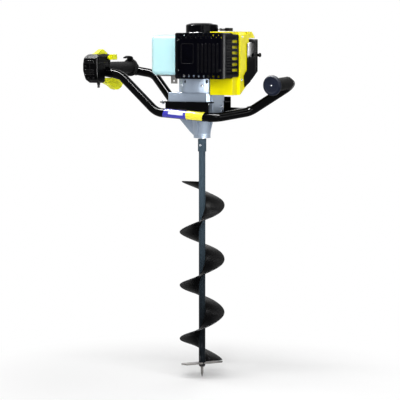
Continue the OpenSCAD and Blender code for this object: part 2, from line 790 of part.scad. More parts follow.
// Throttle control: two halves that close round the cross bar
module throttle_body() {
    nose = 14;
    cheek = 18;
    mid_z = (case_z0 + case_z1) / 2;
    difference() {
        intersection() {
            prism_x([[case_y0 + 5, case_z0 + 10], [case_y0 + 20, case_z0], [case_y0 + 52, case_z0],
                     [case_y0 + 60, bar_z - 20], [case_y1, bar_z - 20], [case_y1, case_z1 - 8],
                     [case_y1 - 8, case_z1], [case_y0 + nose, case_z1], [case_y0, case_z1 - nose]],
                    case_x0, case_x1);
            prism_y([[case_x0 + cheek, case_z0], [case_x1 - 5, case_z0], [case_x1, case_z0 + 6],
                     [case_x1, case_z1 - 7], [case_x1 - 7, case_z1], [case_x0 + cheek, case_z1],
                     [case_x0 + cheek / 2, case_z1 - 8], [case_x0 + cheek / 4, mid_z + 20], [case_x0, mid_z + 12],
                     [case_x0, mid_z + 2], [case_x0 + cheek / 2, case_z0 + 16]], case_y0, case_y1);
            prism_z(rounded([case_x0, case_y0], [case_x1, case_y1], 9), case_z0, case_z1);
        }
        rod_y(bar_front - slip, case_y1 + 1, -bar_reach, bar_z, bar_d + 2 * slip);
        box([-bar_reach - trigger_w / 2 - play, pivot_y - 14, case_z0 - 1],
            [-bar_reach + trigger_w / 2 + play, case_y1 + 1, pivot_z + 16]);
        box([-bar_reach - trigger_w / 2 - play, lock_y - 9, lock_z - 18],
            [-bar_reach + trigger_w / 2 + play, case_y1 + 1, case_z1 + 1]);
        box([-bar_reach, -leg_y - leg_notch, case_z0 - 1], [case_x1 + 1, case_y1 + 1, bar_z - leg_drop + leg_notch]);
        rod_x(case_x0 + 6, case_x1 - 6, pivot_y, pivot_z, trigger_pin_d + 2 * slip);
        rod_x(-bar_reach - trigger_w / 2 - 6, -bar_reach + trigger_w / 2 + 6, lock_y, lock_z,
              trigger_pin_d + 2 * run);
        rod_z(case_z0 - 1, case_z0 + 12, adjuster[0], adjuster[1], 6 + 2 * slip);
        box([case_x1 - 8, switch_y - 11 - switch_travel, switch_z - 4 - play],
            [case_x1 + 1, switch_y + play, switch_z + 4 + play]);
    }
}
module throttle_case_left() {
    color("black")
    intersection() {
        throttle_body();
        box([case_x0 - 1, case_y0 - 1, case_z0 - 1], [-bar_reach, case_y1 + 1, case_z1 + 1]);
    }
}
module throttle_case_right() {
    color("black")
    intersection() {
        throttle_body();
        box([-bar_reach, case_y0 - 1, case_z0 - 1], [case_x1 + 1, case_y1 + 1, case_z1 + 1]);
    }
}
module throttle_trigger() {
    tail = pivot_y + 168;
    low = pivot_z - 40;
    neck = pivot_y + 52;
    color("gold")
    difference() {
        union() {
            rod_x(-bar_reach - trigger_w / 2, -bar_reach + trigger_w / 2, pivot_y, pivot_z, 16);
            prism_x([[pivot_y - 4, pivot_z - 7], [neck - 12, pivot_z - 12], [neck + 16, pivot_z - 20],
                     [neck + 38, low + 12], [tail - 60, low + 3], [tail - 44, low], [tail - 28, low + 2],
                     [tail - 12, low + 10], [tail - 3, low + 20], [tail, low + 29], [tail - 4, low + 35],
                     [tail - 14, low + 38], [neck + 36, low + 41], [neck - 12, pivot_z + 2],
                     [pivot_y + 13, pivot_z + 4], [pivot_y, pivot_z + 8]],
                    -bar_reach - trigger_w / 2, -bar_reach + trigger_w / 2);
        }
        rod_x(case_x0, case_x1, pivot_y, pivot_z, trigger_pin_d + 2 * run);
    }
}
module trigger_pin() {
    color("silver")
    rod_x(case_x0 + 6, case_x1 - 6, pivot_y, pivot_z, trigger_pin_d);
}
module lockout_lever() {
    rise = 16;
    color("gold") {
        prism_x([[lock_y - 5, lock_z - 5], [case_y1 + 8, lock_z - 2], [case_y1 + 11, lock_z + 3],
                 [case_y1 + 9, case_z1 + 4], [case_y1 - 6, case_z1 + rise - 6], [case_y1 - 14, case_z1 + rise - 1],
                 [case_y1 - 22, case_z1 + rise], [case_y1 - 30, case_z1 + rise - 3],
                 [lock_y + 12, case_z1 + 4], [lock_y - 4, lock_z + 6], [lock_y - 6, lock_z + 2]],
                -bar_reach - trigger_w / 2, -bar_reach + trigger_w / 2);
        rod_x(-bar_reach - trigger_w / 2 - 5, -bar_reach + trigger_w / 2 + 5, lock_y, lock_z, trigger_pin_d);
    }
}
module stop_switch() {
    knob = 13;
    overhang = 25;
    color("gold") {
        box([case_x1 - 8 + play, switch_y - 11, switch_z - 4], [case_x1 + play, switch_y, switch_z + 4]);
        prism_y(rounded([case_x1 + play, switch_z - 9], [case_x1 + knob, switch_z + 9], 3),
                switch_y - 7, switch_y + overhang);
    }
}
module cable_adjuster() {
    color("black") {
        rod_z(case_z0, case_z0 + 12, adjuster[0], adjuster[1], 6);
        translate([adjuster[0], adjuster[1], case_z0 - 6]) cylinder(h = 6, d = 12, $fn = 6);
        difference() {
            rod_z(case_z0 - 16, case_z0 - 6, adjuster[0], adjuster[1], 8);
            rod_z(case_z0 - 17, case_z0 - 8, adjuster[0], adjuster[1], 4);
        }
    }
}

// Clutch
module clutch_housing() {
    outer = bell_d / 2;
    floor_t = 4;
    step = 3;
    color("silver")
    difference() {
        translate([0, 0, z_bell])
            rotate_extrude()
                polygon([[small_bearing[1] / 2, 0], [outer - step, 0], [outer - step, step], [outer, step],
                         [outer, bell_h], [outer - bell_wall, bell_h], [outer - bell_wall, floor_t + step],
                         [outer - bell_wall - step, floor_t], [small_bearing[1] / 2, floor_t]]);
        for (a = [250:60:490]) {
            rotate([0, 0, a])
                box([outer - bell_wall - 2, -4, z_case - 14], [outer + 1, 4, z_case - 3]);
        }
    }
}
module clutch_drum() {
    inner = drum_d / 2 - drum_wall;
    hub_r = 11;
    color("silver")
    translate([0, 0, z_drum])
        rotate_extrude()
            polygon([[arbor_d / 2 + slip, -3.5], [hub_r, -3.5], [hub_r, 0], [drum_d / 2, 0], [drum_d / 2, 24],
                     [inner, 24], [inner, 3], [hub_r, 3], [hub_r, 8], [arbor_d / 2 + slip, 8]]);
}
module clutch_shoes() {
    outer = drum_d / 2 - drum_wall - shoe_gap;
    slot = 6;
    spring_y = outer - 9;
    color("dimgray")
    for (side = [0, 180]) {
        rotate([0, 0, side])
            difference() {
                translate([0, 0, z_drum + 6]) ring(2 * outer, 32, carrier_z - z_drum - 6.3);
                box([-outer - 1, -outer - 1, z_bell], [slot / 2, outer + 1, z_case]);
                rod_z(z_bell, z_case, stud_x, 0, stud_d + 2 * slip);
                rod_x(0, 12, spring_y, z_drum + 13, 8.6);
                rod_x(0, 12, -spring_y, z_drum + 13, 8.6);
            }
    }
}
// Coil of round wire along X, six-sided, from x0 to x1
module coil_x(x0, x1, r, wire, turns) {
    rings = round(turns * 8);
    sides = 6;
    points = [for (i = [0:rings]) let (a = 360 * turns * i / rings, x = x0 + (x1 - x0) * i / rings)
        for (k = [0:sides - 1]) let (b = 360 * k / sides)
            [x + wire / 2 * sin(b), (r + wire / 2 * cos(b)) * cos(a), (r + wire / 2 * cos(b)) * sin(a)]];
    walls = [for (i = [0:rings - 1], k = [0:sides - 1])
        let (a = sides * i + k, b = sides * i + (k + 1) % sides)
        each [[a, b, a + sides], [b, b + sides, a + sides]]];
    last = sides * rings;
    ends = [for (k = [1:sides - 2]) each [[0, k + 1, k], [last, last + k, last + k + 1]]];
    polyhedron(points = points, faces = concat(walls, ends), convexity = 10);
}
module clutch_spring() {
    spring_y = drum_d / 2 - drum_wall - shoe_gap - 9;
    color("gray")
    for (y = [-spring_y, spring_y]) {
        translate([0, y, z_drum + 13]) coil_x(-10, 10, 3.4, 1.2, 7);
    }
}

// Engine
module crankshaft() {
    color("silver") {
        difference() {
            turned([[carrier_z + 6, crank_z - 5, journal_d], [crank_z + 5, z_skirt + 4, journal_d],
                    [z_skirt + 4, z_skirt + 34, 12], [carrier_z, carrier_z + 6, 60],
                    [crank_z - 5 - web_t, crank_z - 5, 2 * web_r], [crank_z + 5, crank_z + 5 + web_t, 2 * web_r]]);
            for (z = [crank_z - 6 - web_t, crank_z + 4]) {
                box([-web_r + 4, -web_r - 1, z], [4, -12, z + web_t + 2]);
                box([-web_r + 4, 12, z], [4, web_r + 1, z + web_t + 2]);
            }
        }
        rod_z(crank_z - 6, crank_z + 6, throw, 0, 12);
        for (x = [-stud_x, stud_x]) {
            rod_z(z_drum + 5, carrier_z, x, 0, stud_d);
        }
    }
}
// Crankcase: barrel with base and top flanges and a square face for the cylinder
module crankcase_body() {
    pad = 34;
    difference() {
        union() {
            rod_z(z_case, z_case + case_flange_h, 0, 0, base_flange_d);
            rod_z(z_case, z_skirt, 0, 0, case_d);
            rod_z(z_skirt - 6, z_skirt, 0, 0, skirt_d);
            box([0, -pad, crank_z - pad], [barrel_x0, pad, z_skirt]);
        }
        rod_z(z_case - 1, z_skirt + 1, 0, 0, journal_d + 1.6);
        rod_z(crank_z - 15, crank_z + 15, 0, 0, 2 * crank_room);
        rod_z(z_main_low, crank_z, 0, 0, main_bearing[1] + 2 * slip);
        rod_z(crank_z, z_main_top + main_bearing[2], 0, 0, main_bearing[1] + 2 * slip);
        rod_x(0, barrel_x0 + 1, 0, crank_z, bore_d);
    }
}
module lower_crankcase() {
    color("silver")
    intersection() {
        crankcase_body();
        rod_z(z_case, crank_z, 0, 0, 2 * bell_d);
    }
}
module upper_crankcase() {
    color("silver")
    intersection() {
        crankcase_body();
        rod_z(crank_z, z_skirt, 0, 0, 2 * bell_d);
    }
}
module cylinder_barrel() {
    rod_x(barrel_x0, head_x, 0, crank_z, 2 * barrel_r);
    box([barrel_x0, -base_half, crank_z - base_half], [barrel_x0 + 6, base_half, crank_z + base_half]);
    for (i = [0:fin_count - 1]) {
        prism_x(rounded([-fin_y, crank_z - fin_z], [fin_y, crank_z + fin_z], 8),
                fin_x0 + i * fin_pitch, fin_x0 + i * fin_pitch + fin_t);
    }
    box([port_x - 11, exhaust_y, crank_z - 14], [port_x + 11, 0, crank_z + 14]);
    box([port_x - 10, 0, crank_z - 14], [port_x + 10, intake_y, crank_z + 14]);
}
module engine_cylinder() {
    plug_d = 14;
    color("silver")
    difference() {
        cylinder_barrel();
        rod_x(barrel_x0 - 1, head_x - 14, 0, crank_z, bore_d);
        rod_y(exhaust_y - 1, 0, port_x, crank_z, 18);
        rod_y(0, intake_y + 1, port_x, crank_z, 16);
        rod_x(head_x - 15, head_x + 1, 0, crank_z, plug_d + 2 * slip);
    }
}
module piston() {
    crown_x = port_x + 16;
    skirt_len = 32;
    color("silver")
    difference() {
        rod_x(crown_x - skirt_len, crown_x, 0, crank_z, bore_d - 2 * slip);
        rod_x(crown_x - skirt_len - 1, crown_x - 5, 0, crank_z, bore_d - 8);
    }
}
module spark_plug() {
    color("white") {
        rod_x(head_x - 13, head_x, 0, crank_z, 14);
        translate([head_x, 0, crank_z]) rotate([0, 90, 0]) cylinder(h = 7, d = 20, $fn = 6);
        rod_x(head_x + 7, head_x + 15, 0, crank_z, 9);
    }
}
module plug_boot() {
    color("black")
    difference() {
        union() {
            rod_x(head_x + 7, head_x + 21, 0, crank_z, 16);
            rod_z(crank_z - 22, crank_z, head_x + 14, 0, 11);
        }
        rod_x(head_x + 6, head_x + 15, 0, crank_z, 9 + 2 * slip);
    }
}
module flywheel() {
    disc = 8;
    fan = 13;
    color("silver")
    difference() {
        translate([0, 0, z_skirt + 5]) {
            cylinder(h = disc, d = flywheel_d);
            cylinder(h = disc + fan, d = 26);
            for (i = [0:blade_count - 1]) {
                rotate([0, 0, 360 * i / blade_count])
                    box([12, -1.2, disc - 1], [flywheel_d / 2 - 3, 1.2, disc + fan]);
            }
        }
        rod_z(z_skirt, z_skirt + 40, 0, 0, 12 + 2 * slip);
    }
}
module ignition_coil() {
    air = 0.5;
    near = flywheel_d / 2 + air;
    color("dimgray")
    difference() {
        union() {
            box([-20, near - 3, z_skirt + 6], [20, near + 9, z_skirt + 12]);
            box([-11, near + 1, z_skirt + 2], [11, near + 11, z_skirt + 18]);
            rod_z(z_skirt, z_skirt + 6, -16, near + 5, 6);
            rod_z(z_skirt, z_skirt + 6, 16, near + 5, 6);
        }
        rod_z(z_skirt - 1, z_skirt + 30, 0, 0, flywheel_d + 2 * air);
    }
}
module muffler() {
    x0 = guard_x0 + 46;
    x1 = guard_x1 - 34;
    bottom = guard_z0 + 20;
    top = guard_z1 - 18;
    color("gray")
    difference() {
        union() {
            prism_y(rounded([x0, bottom], [x1, top], muffler_r), muffler_y0, muffler_y1);
            box([port_x - 13, muffler_y1, crank_z - 15], [port_x + 13, exhaust_y, crank_z + 15]);
            rod_y(muffler_y0 - 6, muffler_y0, x0 + 20, bottom + 18, 14);
        }
        rod_y(muffler_y1 - 10, exhaust_y + 1, port_x, crank_z, 18);
        rod_y(muffler_y0 - 7, muffler_y0 + 8, x0 + 20, bottom + 18, 10);
    }
}
module carburettor() {
    y1 = intake_y + carb_len;
    color("silver")
    difference() {
        union() {
            box([port_x - 12, intake_y, crank_z - 18], [port_x + 12, intake_y + 5, crank_z + 18]);
            prism_y(rounded([port_x - 11, crank_z - 16], [port_x + 11, crank_z + 16], 4), intake_y + 5, y1);
            rod_z(crank_z - 34, crank_z, port_x, intake_y + 18, 22);
            rod_z(crank_z, crank_z + 20, port_x, intake_y + 18, 14);
        }
        rod_y(intake_y - 1, y1 + 1, port_x, crank_z, 16);
        rod_z(crank_z + 8, crank_z + 21, port_x, intake_y + 18, 5 + 2 * run);
    }
}
module throttle_arm() {
    z = crank_z + 20;
    color("gold") {
        rod_z(crank_z + 8.5, z + 4, port_x, intake_y + 18, 5);
        difference() {
            translate([port_x, intake_y + 18, z + 1])
                linear_extrude(3)
                    polygon([[-6, -5], [6, -5], [24, -3], [24, 3], [6, 5], [-6, 5]]);
            rod_z(z, z + 6, port_x + 20, intake_y + 18, 3);
        }
    }
}
module choke_lever() {
    tip = choke[0] + 38;
    color("black") {
        rod_x(filter_x1 - 14, filter_x1 + 4, choke[0], choke[1], 6);
        prism_x([[choke[0] - 5, choke[1] - 5], [choke[0] + 4, choke[1] - 6], [tip + 4, choke[1] - 4],
                 [tip + 4, choke[1] + 4], [choke[0] + 4, choke[1] + 6], [choke[0] - 5, choke[1] + 5]],
                filter_x1 + play, filter_x1 + 4);
        rod_x(filter_x1 + 4, filter_x1 + 8, tip - 2, choke[1], 14);
    }
}

// Air filter
module filter_prism(grow, y0, y1) {
    rise = -grow * 1.2;
    intersection() {
        prism_y(rounded([filter_x0 - grow, filter_z0 - grow], [filter_x1 + grow, filter_z1 + grow], filter_r + grow),
                y0, y1);
        prism_x([[y0, under_z(y0) + rise], [y1, under_z(y1) + rise], [y1, filter_z1], [y0, filter_z1]],
                filter_x0, filter_x1);
    }
}
// Case with an arm that laps over the cowl's right side
module air_filter_case() {
    arm_x0 = cowl_x1 + 0.3;
    arm_y = cowl_mid_y + 25;
    arm_z = filter_z0 + 44;
    color("black")
    difference() {
        union() {
            filter_prism(0, filter_y0, filter_y1);
            prism_x([[filter_y0 + 1, under_z(filter_y0)], [arm_y + 4, under_z(arm_y) + 10], [arm_y, arm_z - 18],
                     [arm_y + 24, arm_z], [arm_y + 24, filter_z1 - 16], [filter_y0 + 1, filter_z1 - 12]],
                    arm_x0, filter_x1);
        }
        filter_prism(-shell, filter_y0 - 1, filter_y1 - shell);
        rod_y(filter_y0, filter_y1 + 1, port_x, crank_z, 17);
        rod_x(filter_x1 - 10, filter_x1 + 1, choke[0], choke[1], 6 + 2 * run);
        box([filter_x0 - 1, filter_y0 - 1, crank_z - 20], [filter_x0 + 10, filter_y0 + 28, crank_z + 40]);
    }
}
module air_filter_element() {
    gap = shell + 5;
    pad = 14;
    lo = [filter_x0 + gap, under_z(filter_y2 - 12) + gap];
    hi = [filter_x1 - gap, filter_z1 - gap];
    color("wheat")
    difference() {
        prism_y(rounded(lo, hi, filter_r - gap), filter_y1, filter_y2 - 12);
        prism_y(rounded(lo + [pad, pad], hi - [pad, pad], 4), filter_y1 - 1, filter_y2 - 11);
    }
}
module air_filter_cover() {
    color("black")
    difference() {
        intersection() {
            filter_prism(0, filter_y1, filter_y2);
            prism_z([[filter_x0, filter_y1], [filter_x1, filter_y1], [filter_x1, filter_y2 - 18],
                     [filter_x1 - 6, filter_y2 - 6], [filter_x1 - 18, filter_y2], [filter_x0 + 18, filter_y2],
                     [filter_x0 + 6, filter_y2 - 6], [filter_x0, filter_y2 - 18]], filter_z0, filter_z1);
        }
        intersection() {
            filter_prism(-shell, filter_y1 - 1, filter_y2 - shell);
            prism_z([[filter_x0, filter_y1 - 1], [filter_x1 - shell, filter_y1 - 1],
                     [filter_x1 - shell, filter_y2 - 20], [filter_x1 - 9, filter_y2 - 8],
                     [filter_x1 - 20, filter_y2 - shell], [filter_x0 + 20, filter_y2 - shell],
                     [filter_x0 + 9, filter_y2 - 8], [filter_x0 + shell, filter_y2 - 20]], filter_z0, filter_z1);
        }
    }
}

// Covers
module cowl_form(in) {
    bevel = 20;
    prism_y([[cowl_x0 - in, cowl_z0 - 2 * in], [cowl_x1 - in, cowl_z0 - 2 * in], [cowl_x1 - in, cowl_z1 - 10 - in],
             [cowl_x1 - 10 - in, cowl_z1 - in], [cowl_x0 - in, cowl_z1 - in]], cowl_mid_y + in, cowl_y1 - in);
    prism_y([[cowl_x0 - in, cowl_z0 - 2 * in], [cowl_front_x1 - in, cowl_z0 - 2 * in],
             [cowl_front_x1 - in, cowl_z1 - in], [cowl_x0 - in, cowl_z1 - in]], cowl_y0 + in, cowl_y1 - in);
    prism_x([[cowl_y1 - 10, filter_z1 + 2 + in], [eave_y - in, filter_z1 + 2 + in],
             [eave_y - in, filter_z1 + 6], [eave_y - bevel, cowl_z1 - in], [cowl_y1 - 10, cowl_z1 - in]],
            cowl_x0 - in, cowl_x1 - in);
}
module engine_cowl() {
    post_d = 8;
    color("yellow") {
        difference() {
            cowl_form(0);
            cowl_form(shell);
            box([cowl_x0 - 1, cowl_y0 - 1, crank_z - 40], [cowl_front_x1 - 25, cowl_y0 + 10, crank_z + 45]);
            box([cowl_x0 - 1, cowl_y1 - 10, crank_z - 42], [port_x + 16, cowl_y1 + 1, crank_z + 30]);
            rod_z(cowl_z0 - 1, z_case + case_flange_h + 3, 0, 0, bell_d + 6);
            prism_x([[cowl_mid_y, cowl_z0 - 1], [eave_y, cowl_z0 - 1], [eave_y, under_z(eave_y)],
                     [cowl_mid_y, cowl_z0]], cowl_x0 - 1, cowl_x1 + 1);
        }
        for (y = [-16, 22], z = [-26, 26]) {
            rod_x(head_x, cowl_x1 - shell / 2, y, crank_z + z, post_d);
        }
    }
}
module guard_form(in) {
    intersection() {
        prism_y(rounded([guard_x0 + in, guard_z0 + in], [guard_x1 - in, guard_z1 - in], guard_r - in),
                guard_y0 + in, guard_side_y);
        prism_z(rounded([guard_x0 + in, guard_y0 + in], [guard_x1 - in, 0], guard_r - in),
                guard_z0, guard_z1);
    }
}
module muffler_cover() {
    hole_pitch = 18;
    rib_pitch = 14;
    louvre_pitch = (guard_h - 38) / louvre_count;
    louvre_mid = guard_side_y - 49;
    louvre_end = guard_side_y - 7;
    post_d = 12;
    panel_z1 = guard_z0 + 114;
    color("black") {
        difference() {
            guard_form(0);
            guard_form(shell);
            box([guard_x0 - 1, guard_y1, guard_z0 - 1], [guard_x1 - shell, 0, guard_z1 + 1]);
            rod_z(guard_z0 - 1, z_case + case_flange_h + 3, 0, 0, base_flange_d + 6);
            for (i = [0:louvre_count - 1]) {
                z = guard_z0 + 24 + louvre_pitch * i;
                prism_x(rounded([louvre_mid, z], [louvre_end, z + louvre_h], louvre_h / 2 - 0.1),
                        guard_x1 - shell - 1, guard_x1 + 1);
                prism_x(rounded([guard_y0 + guard_r, z], [louvre_mid - 2, z + louvre_h], louvre_h / 2 - 0.1),
                        guard_x1 - 1, guard_x1 + 1);
            }
            for (x = [guard_x0 + 20:hole_pitch:guard_x1 - 18]) {
                rod_y(guard_y0 - 1, guard_y0 + shell + 1, x, guard_z1 - 8, 5);
                rod_y(guard_y0 - 1, guard_y0 + shell + 1, x + hole_pitch / 2, guard_z1 - 15, 5);
                rod_y(guard_y0 - 1, guard_y0 + shell + 1, x, guard_z0 + 9, 8);
            }
            prism_y(rounded([guard_x0 + 28, guard_z0 + 50], [guard_x0 + 72, panel_z1], 5),
                    guard_y0 - 1, guard_y0 + 1);
        }
        for (x = [guard_x0 + 88:rib_pitch:guard_x1 - 24]) {
            prism_y(rounded([x, guard_z0 + 22], [x + 5, panel_z1], 2.4), guard_y0 - 2, guard_y0 + 1);
        }
        for (x = [guard_x0 + 62, guard_x1 - 50]) {
            rod_y(guard_y0 + 1, muffler_y0, x, guard_z1 - 34, post_d);
        }
    }
}
module starter_housing() {
    lip = 7;
    slope = 17;
    eye_d = rope_d + 0.8;
    color("black")
    difference() {
        union() {
            rotate_extrude()
                polygon([[skirt_d / 2 - shell, z_skirt], [skirt_d / 2, z_skirt], [skirt_d / 2, z_dome - 5],
                         [skirt_d / 2 - 4, z_dome], [dome_d / 2, z_dome], [dome_d / 2, z_top - lip],
                         [dome_d / 2 - 3, z_top - lip + 3], [dome_d / 2 - slope, z_top], [0, z_top], [0, z_top - shell],
                         [dome_d / 2 - slope - 1, z_top - shell], [dome_d / 2 - shell, z_top - lip - 1],
                         [dome_d / 2 - shell, z_dome - shell],
                         [skirt_d / 2 - 5, z_dome - shell], [skirt_d / 2 - shell, z_dome - 6]]);
            rod_z(reel_z0 - 2, z_top - shell / 2, 0, 0, 14);
        }
        for (i = [0:9]) {
            rotate([0, 0, 36 * i + 10])
                prism_z(rounded([17, -2.5], [dome_d / 2 - slope - 2, 2.5], 2.4), z_top - shell - 1, z_top + 1);
        }
        for (a = [100:40:260]) {
            rotate([0, 0, a])
                box([skirt_d / 2 - 6, -9, z_skirt + 14], [skirt_d / 2 + 1, 9, z_skirt + 22]);
        }
        rod_x(0, dome_d, rope_y, rope_z, eye_d);
    }
}
module starter_reel() {
    core = 2 * (rope_y - rope_d / 2 - 0.5);
    cheek = 2.4;
    color("white")
    difference() {
        translate([0, 0, reel_z0]) {
            cylinder(h = reel_h, d = core);
            cylinder(h = cheek, d = dome_d - 2 * shell - 6);
            translate([0, 0, reel_h - cheek]) cylinder(h = cheek, d = dome_d - 2 * shell - 6);
        }
        rod_z(reel_z0 - 1, z_top, 0, 0, 14 + 2 * run);
    }
}
// Flat spring wound in a spiral, as one strip
module starter_spring() {
    turns = 6;
    strip = 0.9;
    inner = 9;
    outer = dome_d / 2 - shell - 7;
    steps = turns * 20;
    z0 = reel_z0 + reel_h + 0.4;
    edge = [for (i = [0:steps]) let (a = 360 * turns * i / steps, r = inner + (outer - inner) * i / steps)
        [r * cos(a), r * sin(a)]];
    back = [for (i = [steps:-1:0]) let (a = 360 * turns * i / steps, r = inner + strip + (outer - inner) * i / steps)
        [r * cos(a), r * sin(a)]];
    color("silver") prism_z(concat(edge, back), z0, z0 + spring_h - 1);
}
module starter_rope() {
    color("white") rod_x(1, handle_x0, rope_y, rope_z, rope_d);
}
module starter_handle() {
    bar_half = 18;
    stem = 26;
    bar = 16;
    thick = 11;
    color("black") {
        rod_x(handle_x0, handle_x0 + stem + 2, rope_y, rope_z, 9);
        intersection() {
            prism_z(rounded([handle_x0 + stem, rope_y - bar_half], [handle_x0 + stem + bar, rope_y + bar_half], 7),
                    rope_z - thick / 2, rope_z + thick / 2);
            prism_y(rounded([handle_x0 + stem, rope_z - thick / 2], [handle_x0 + stem + bar, rope_z + thick / 2], 4),
                    rope_y - bar_half, rope_y + bar_half);
        }
    }
}

// Fuel tank
module fuel_tank() {
    lo = [tank_x0, -tank_depth / 2, tank_z0];
    hi = [tank_x1, tank_depth / 2, tank_z1];
    in = [shell, shell, shell];
    color("azure")
    difference() {
        union() {
            soft_box(lo, hi, tank_r);
            rod_y(tank_depth / 2 - 3, tank_depth / 2 + neck_len, neck[0], neck[1], neck_d);
        }
        soft_box(lo + in, hi - in, tank_r - shell);
        rod_y(tank_depth / 2 - 10, tank_depth / 2 + neck_len + 1, neck[0], neck[1], neck_d - 2 * shell);
    }
}
module fuel_cap() {
    y0 = tank_depth / 2 + 3;
    color("black")
    difference() {
        union() {
            rod_y(y0, y0 + 16, neck[0], neck[1], cap_d);
            for (a = [0:30:330]) {
                translate([neck[0], 0, neck[1]])
                    rotate([0, a, 0])
                        box([cap_d / 2 - 2, y0, -2], [cap_d / 2 + 1.2, y0 + 14, 2]);
            }
        }
        rod_y(y0 - 1, y0 + 16 - 5, neck[0], neck[1], neck_d + 2 * play);
    }
}
module tank_bracket() {
    half = 32;
    z1 = tank_z0;
    z0 = z_case + case_flange_h;
    tab = 24;
    color("silver")
    difference() {
        union() {
            box([tank_x0 + tank_r, -half, z0], [-case_d / 2 - 3, half, z1]);
            for (y = [-half, half - 3]) {
                box([-bell_d / 2 - 24, y, z0 - tab], [-bell_d / 2 - 1, y + 3, z1]);
            }
        }
        rod_y(-half - 1, half + 1, -bell_d / 2 - 13, z0 - tab + 9, 7);
    }
}

auger_tube();
auger_flight();
auger_pilot();
cutter_blades();
coupling_pin();
output_shaft();
output_gear();
layshaft();
layshaft_gear();
input_shaft();
shaft_bearings();
output_seal();
gearbox_housing();
gearbox_cover();
gearbox_bolts();
mounting_plate();
handle_bar();
front_frame_tube();
rear_frame_tube();
right_handle_tube();
left_grip();
right_grip();
throttle_case_left();
throttle_case_right();
throttle_trigger();
trigger_pin();
lockout_lever();
stop_switch();
cable_adjuster();
clutch_housing();
clutch_drum();
clutch_shoes();
clutch_spring();
crankshaft();
lower_crankcase();
upper_crankcase();
engine_cylinder();
piston();
spark_plug();
plug_boot();
flywheel();
ignition_coil();
muffler();
carburettor();
throttle_arm();
choke_lever();
air_filter_case();
air_filter_element();
air_filter_cover();
engine_cowl();
muffler_cover();
starter_housing();
starter_reel();
starter_spring();
starter_rope();
starter_handle();
fuel_tank();
fuel_cap();
tank_bracket();
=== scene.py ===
"""Looks of a one-person petrol earth auger: finishes, shaped pieces, studio and camera.

Metres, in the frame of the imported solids: +Z up, the bit's axis is Z, its pilot tip is the origin.
"""

import logging
import math
from dataclasses import dataclass
from enum import Enum
from typing import Any, Dict, List, Optional, Sequence, Tuple, Union

import bmesh
import bpy
import numpy as np
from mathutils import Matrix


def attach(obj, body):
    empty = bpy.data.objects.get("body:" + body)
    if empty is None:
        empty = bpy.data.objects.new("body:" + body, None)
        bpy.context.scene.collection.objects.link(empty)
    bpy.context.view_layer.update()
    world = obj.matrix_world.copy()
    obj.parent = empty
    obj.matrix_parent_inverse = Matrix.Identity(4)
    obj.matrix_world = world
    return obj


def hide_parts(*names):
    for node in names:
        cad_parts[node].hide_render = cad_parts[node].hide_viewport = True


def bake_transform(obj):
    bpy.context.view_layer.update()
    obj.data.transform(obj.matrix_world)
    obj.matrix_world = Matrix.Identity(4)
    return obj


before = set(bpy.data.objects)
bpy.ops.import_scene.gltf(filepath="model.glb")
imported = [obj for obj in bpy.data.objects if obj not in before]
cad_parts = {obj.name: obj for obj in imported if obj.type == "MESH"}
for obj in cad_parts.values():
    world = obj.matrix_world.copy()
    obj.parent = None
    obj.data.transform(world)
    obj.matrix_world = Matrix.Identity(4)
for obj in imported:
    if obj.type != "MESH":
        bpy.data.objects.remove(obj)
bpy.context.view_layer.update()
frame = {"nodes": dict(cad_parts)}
LOG = logging.getLogger("earth_auger")

Rgb = Tuple[float, float, float]
Point = Tuple[float, float, float]
Pair = Tuple[float, float]
MM = 0.001
TURN = 2 * math.pi
Y_AXIS = (0, 1, 0)
BEVEL_SAMPLES = 4
EDGE_FADE = (0.9999, 0.997)  # cosines between the true and the softened normal: off an edge and on it
SEEN_RAYS = ("Is Camera Ray", "Is Glossy Ray", "Is Transmission Ray")
BEAD_SIDES = 8


class Body(Enum):
    """The moving bodies that the shaped pieces ride on."""

    MACHINE = "machine"
    AUGER = "auger"
    STARTER_HANDLE = "starter_handle"


def screen(red: float, green: float, blue: float) -> Rgb:
    """Turns a colour as a screen shows it into linear light by the sRGB curve.

    Args:
        red: Red part, from 0 to 255.
        green: Green part, from 0 to 255.
        blue: Blue part, from 0 to 255.

    Returns:
        The linear colour.
    """
    parts = np.array([red, green, blue]) / 255
    light = np.where(parts <= 0.04045, parts / 12.92, ((parts + 0.055) / 1.055) ** 2.4)
    return tuple(float(part) for part in light)


def shade(colour: Rgb, gain: float = 1.0) -> Tuple[float, float, float, float]:
    """A colour made lighter or darker by a factor, with full alpha, for a socket."""
    return tuple(min(1.0, part * gain) for part in colour) + (1.0,)


class Signal:
    """A number that varies over a surface: operators on it add Math nodes."""

    def __init__(self, board: "Board", socket: bpy.types.NodeSocket) -> None:
        """Wraps one output socket of a board."""
        self.board = board
        self.socket = socket

    def __add__(self, other: "Operand") -> "Signal":
        """Sum."""
        return self.board.math("ADD", self, other)

    __radd__ = __add__

    def __sub__(self, other: "Operand") -> "Signal":
        """Difference."""
        return self.board.math("SUBTRACT", self, other)

    def __rsub__(self, other: "Operand") -> "Signal":
        """Difference with the signal taken away."""
        return self.board.math("SUBTRACT", other, self)

    def __mul__(self, other: "Operand") -> "Signal":
        """Product."""
        return self.board.math("MULTIPLY", self, other)

    def __pow__(self, other: "Operand") -> "Signal":
        """Power."""
        return self.board.math("POWER", self, other)

    def fade(self, low: float, high: float) -> "Signal":
        """Rises smoothly from 0 to 1 between two values; where low is above high, it falls instead.

        Args:
            low: The value at which it is 0.
            high: The value at which it is 1.

        Returns:
            The faded signal.
        """
        if low > high:
            return 1 - self.fade(high, low)
        made = self.board.node("MapRange", {"Value": self, "From Min": low, "From Max": high},
                               interpolation_type="SMOOTHSTEP")
        return Signal(self.board, made.outputs["Result"])


Operand = Union[Signal, float]
Feed = Union[Signal, bpy.types.NodeSocket, float, Sequence[float]]
Inputs = Dict[Union[str, int], Feed]


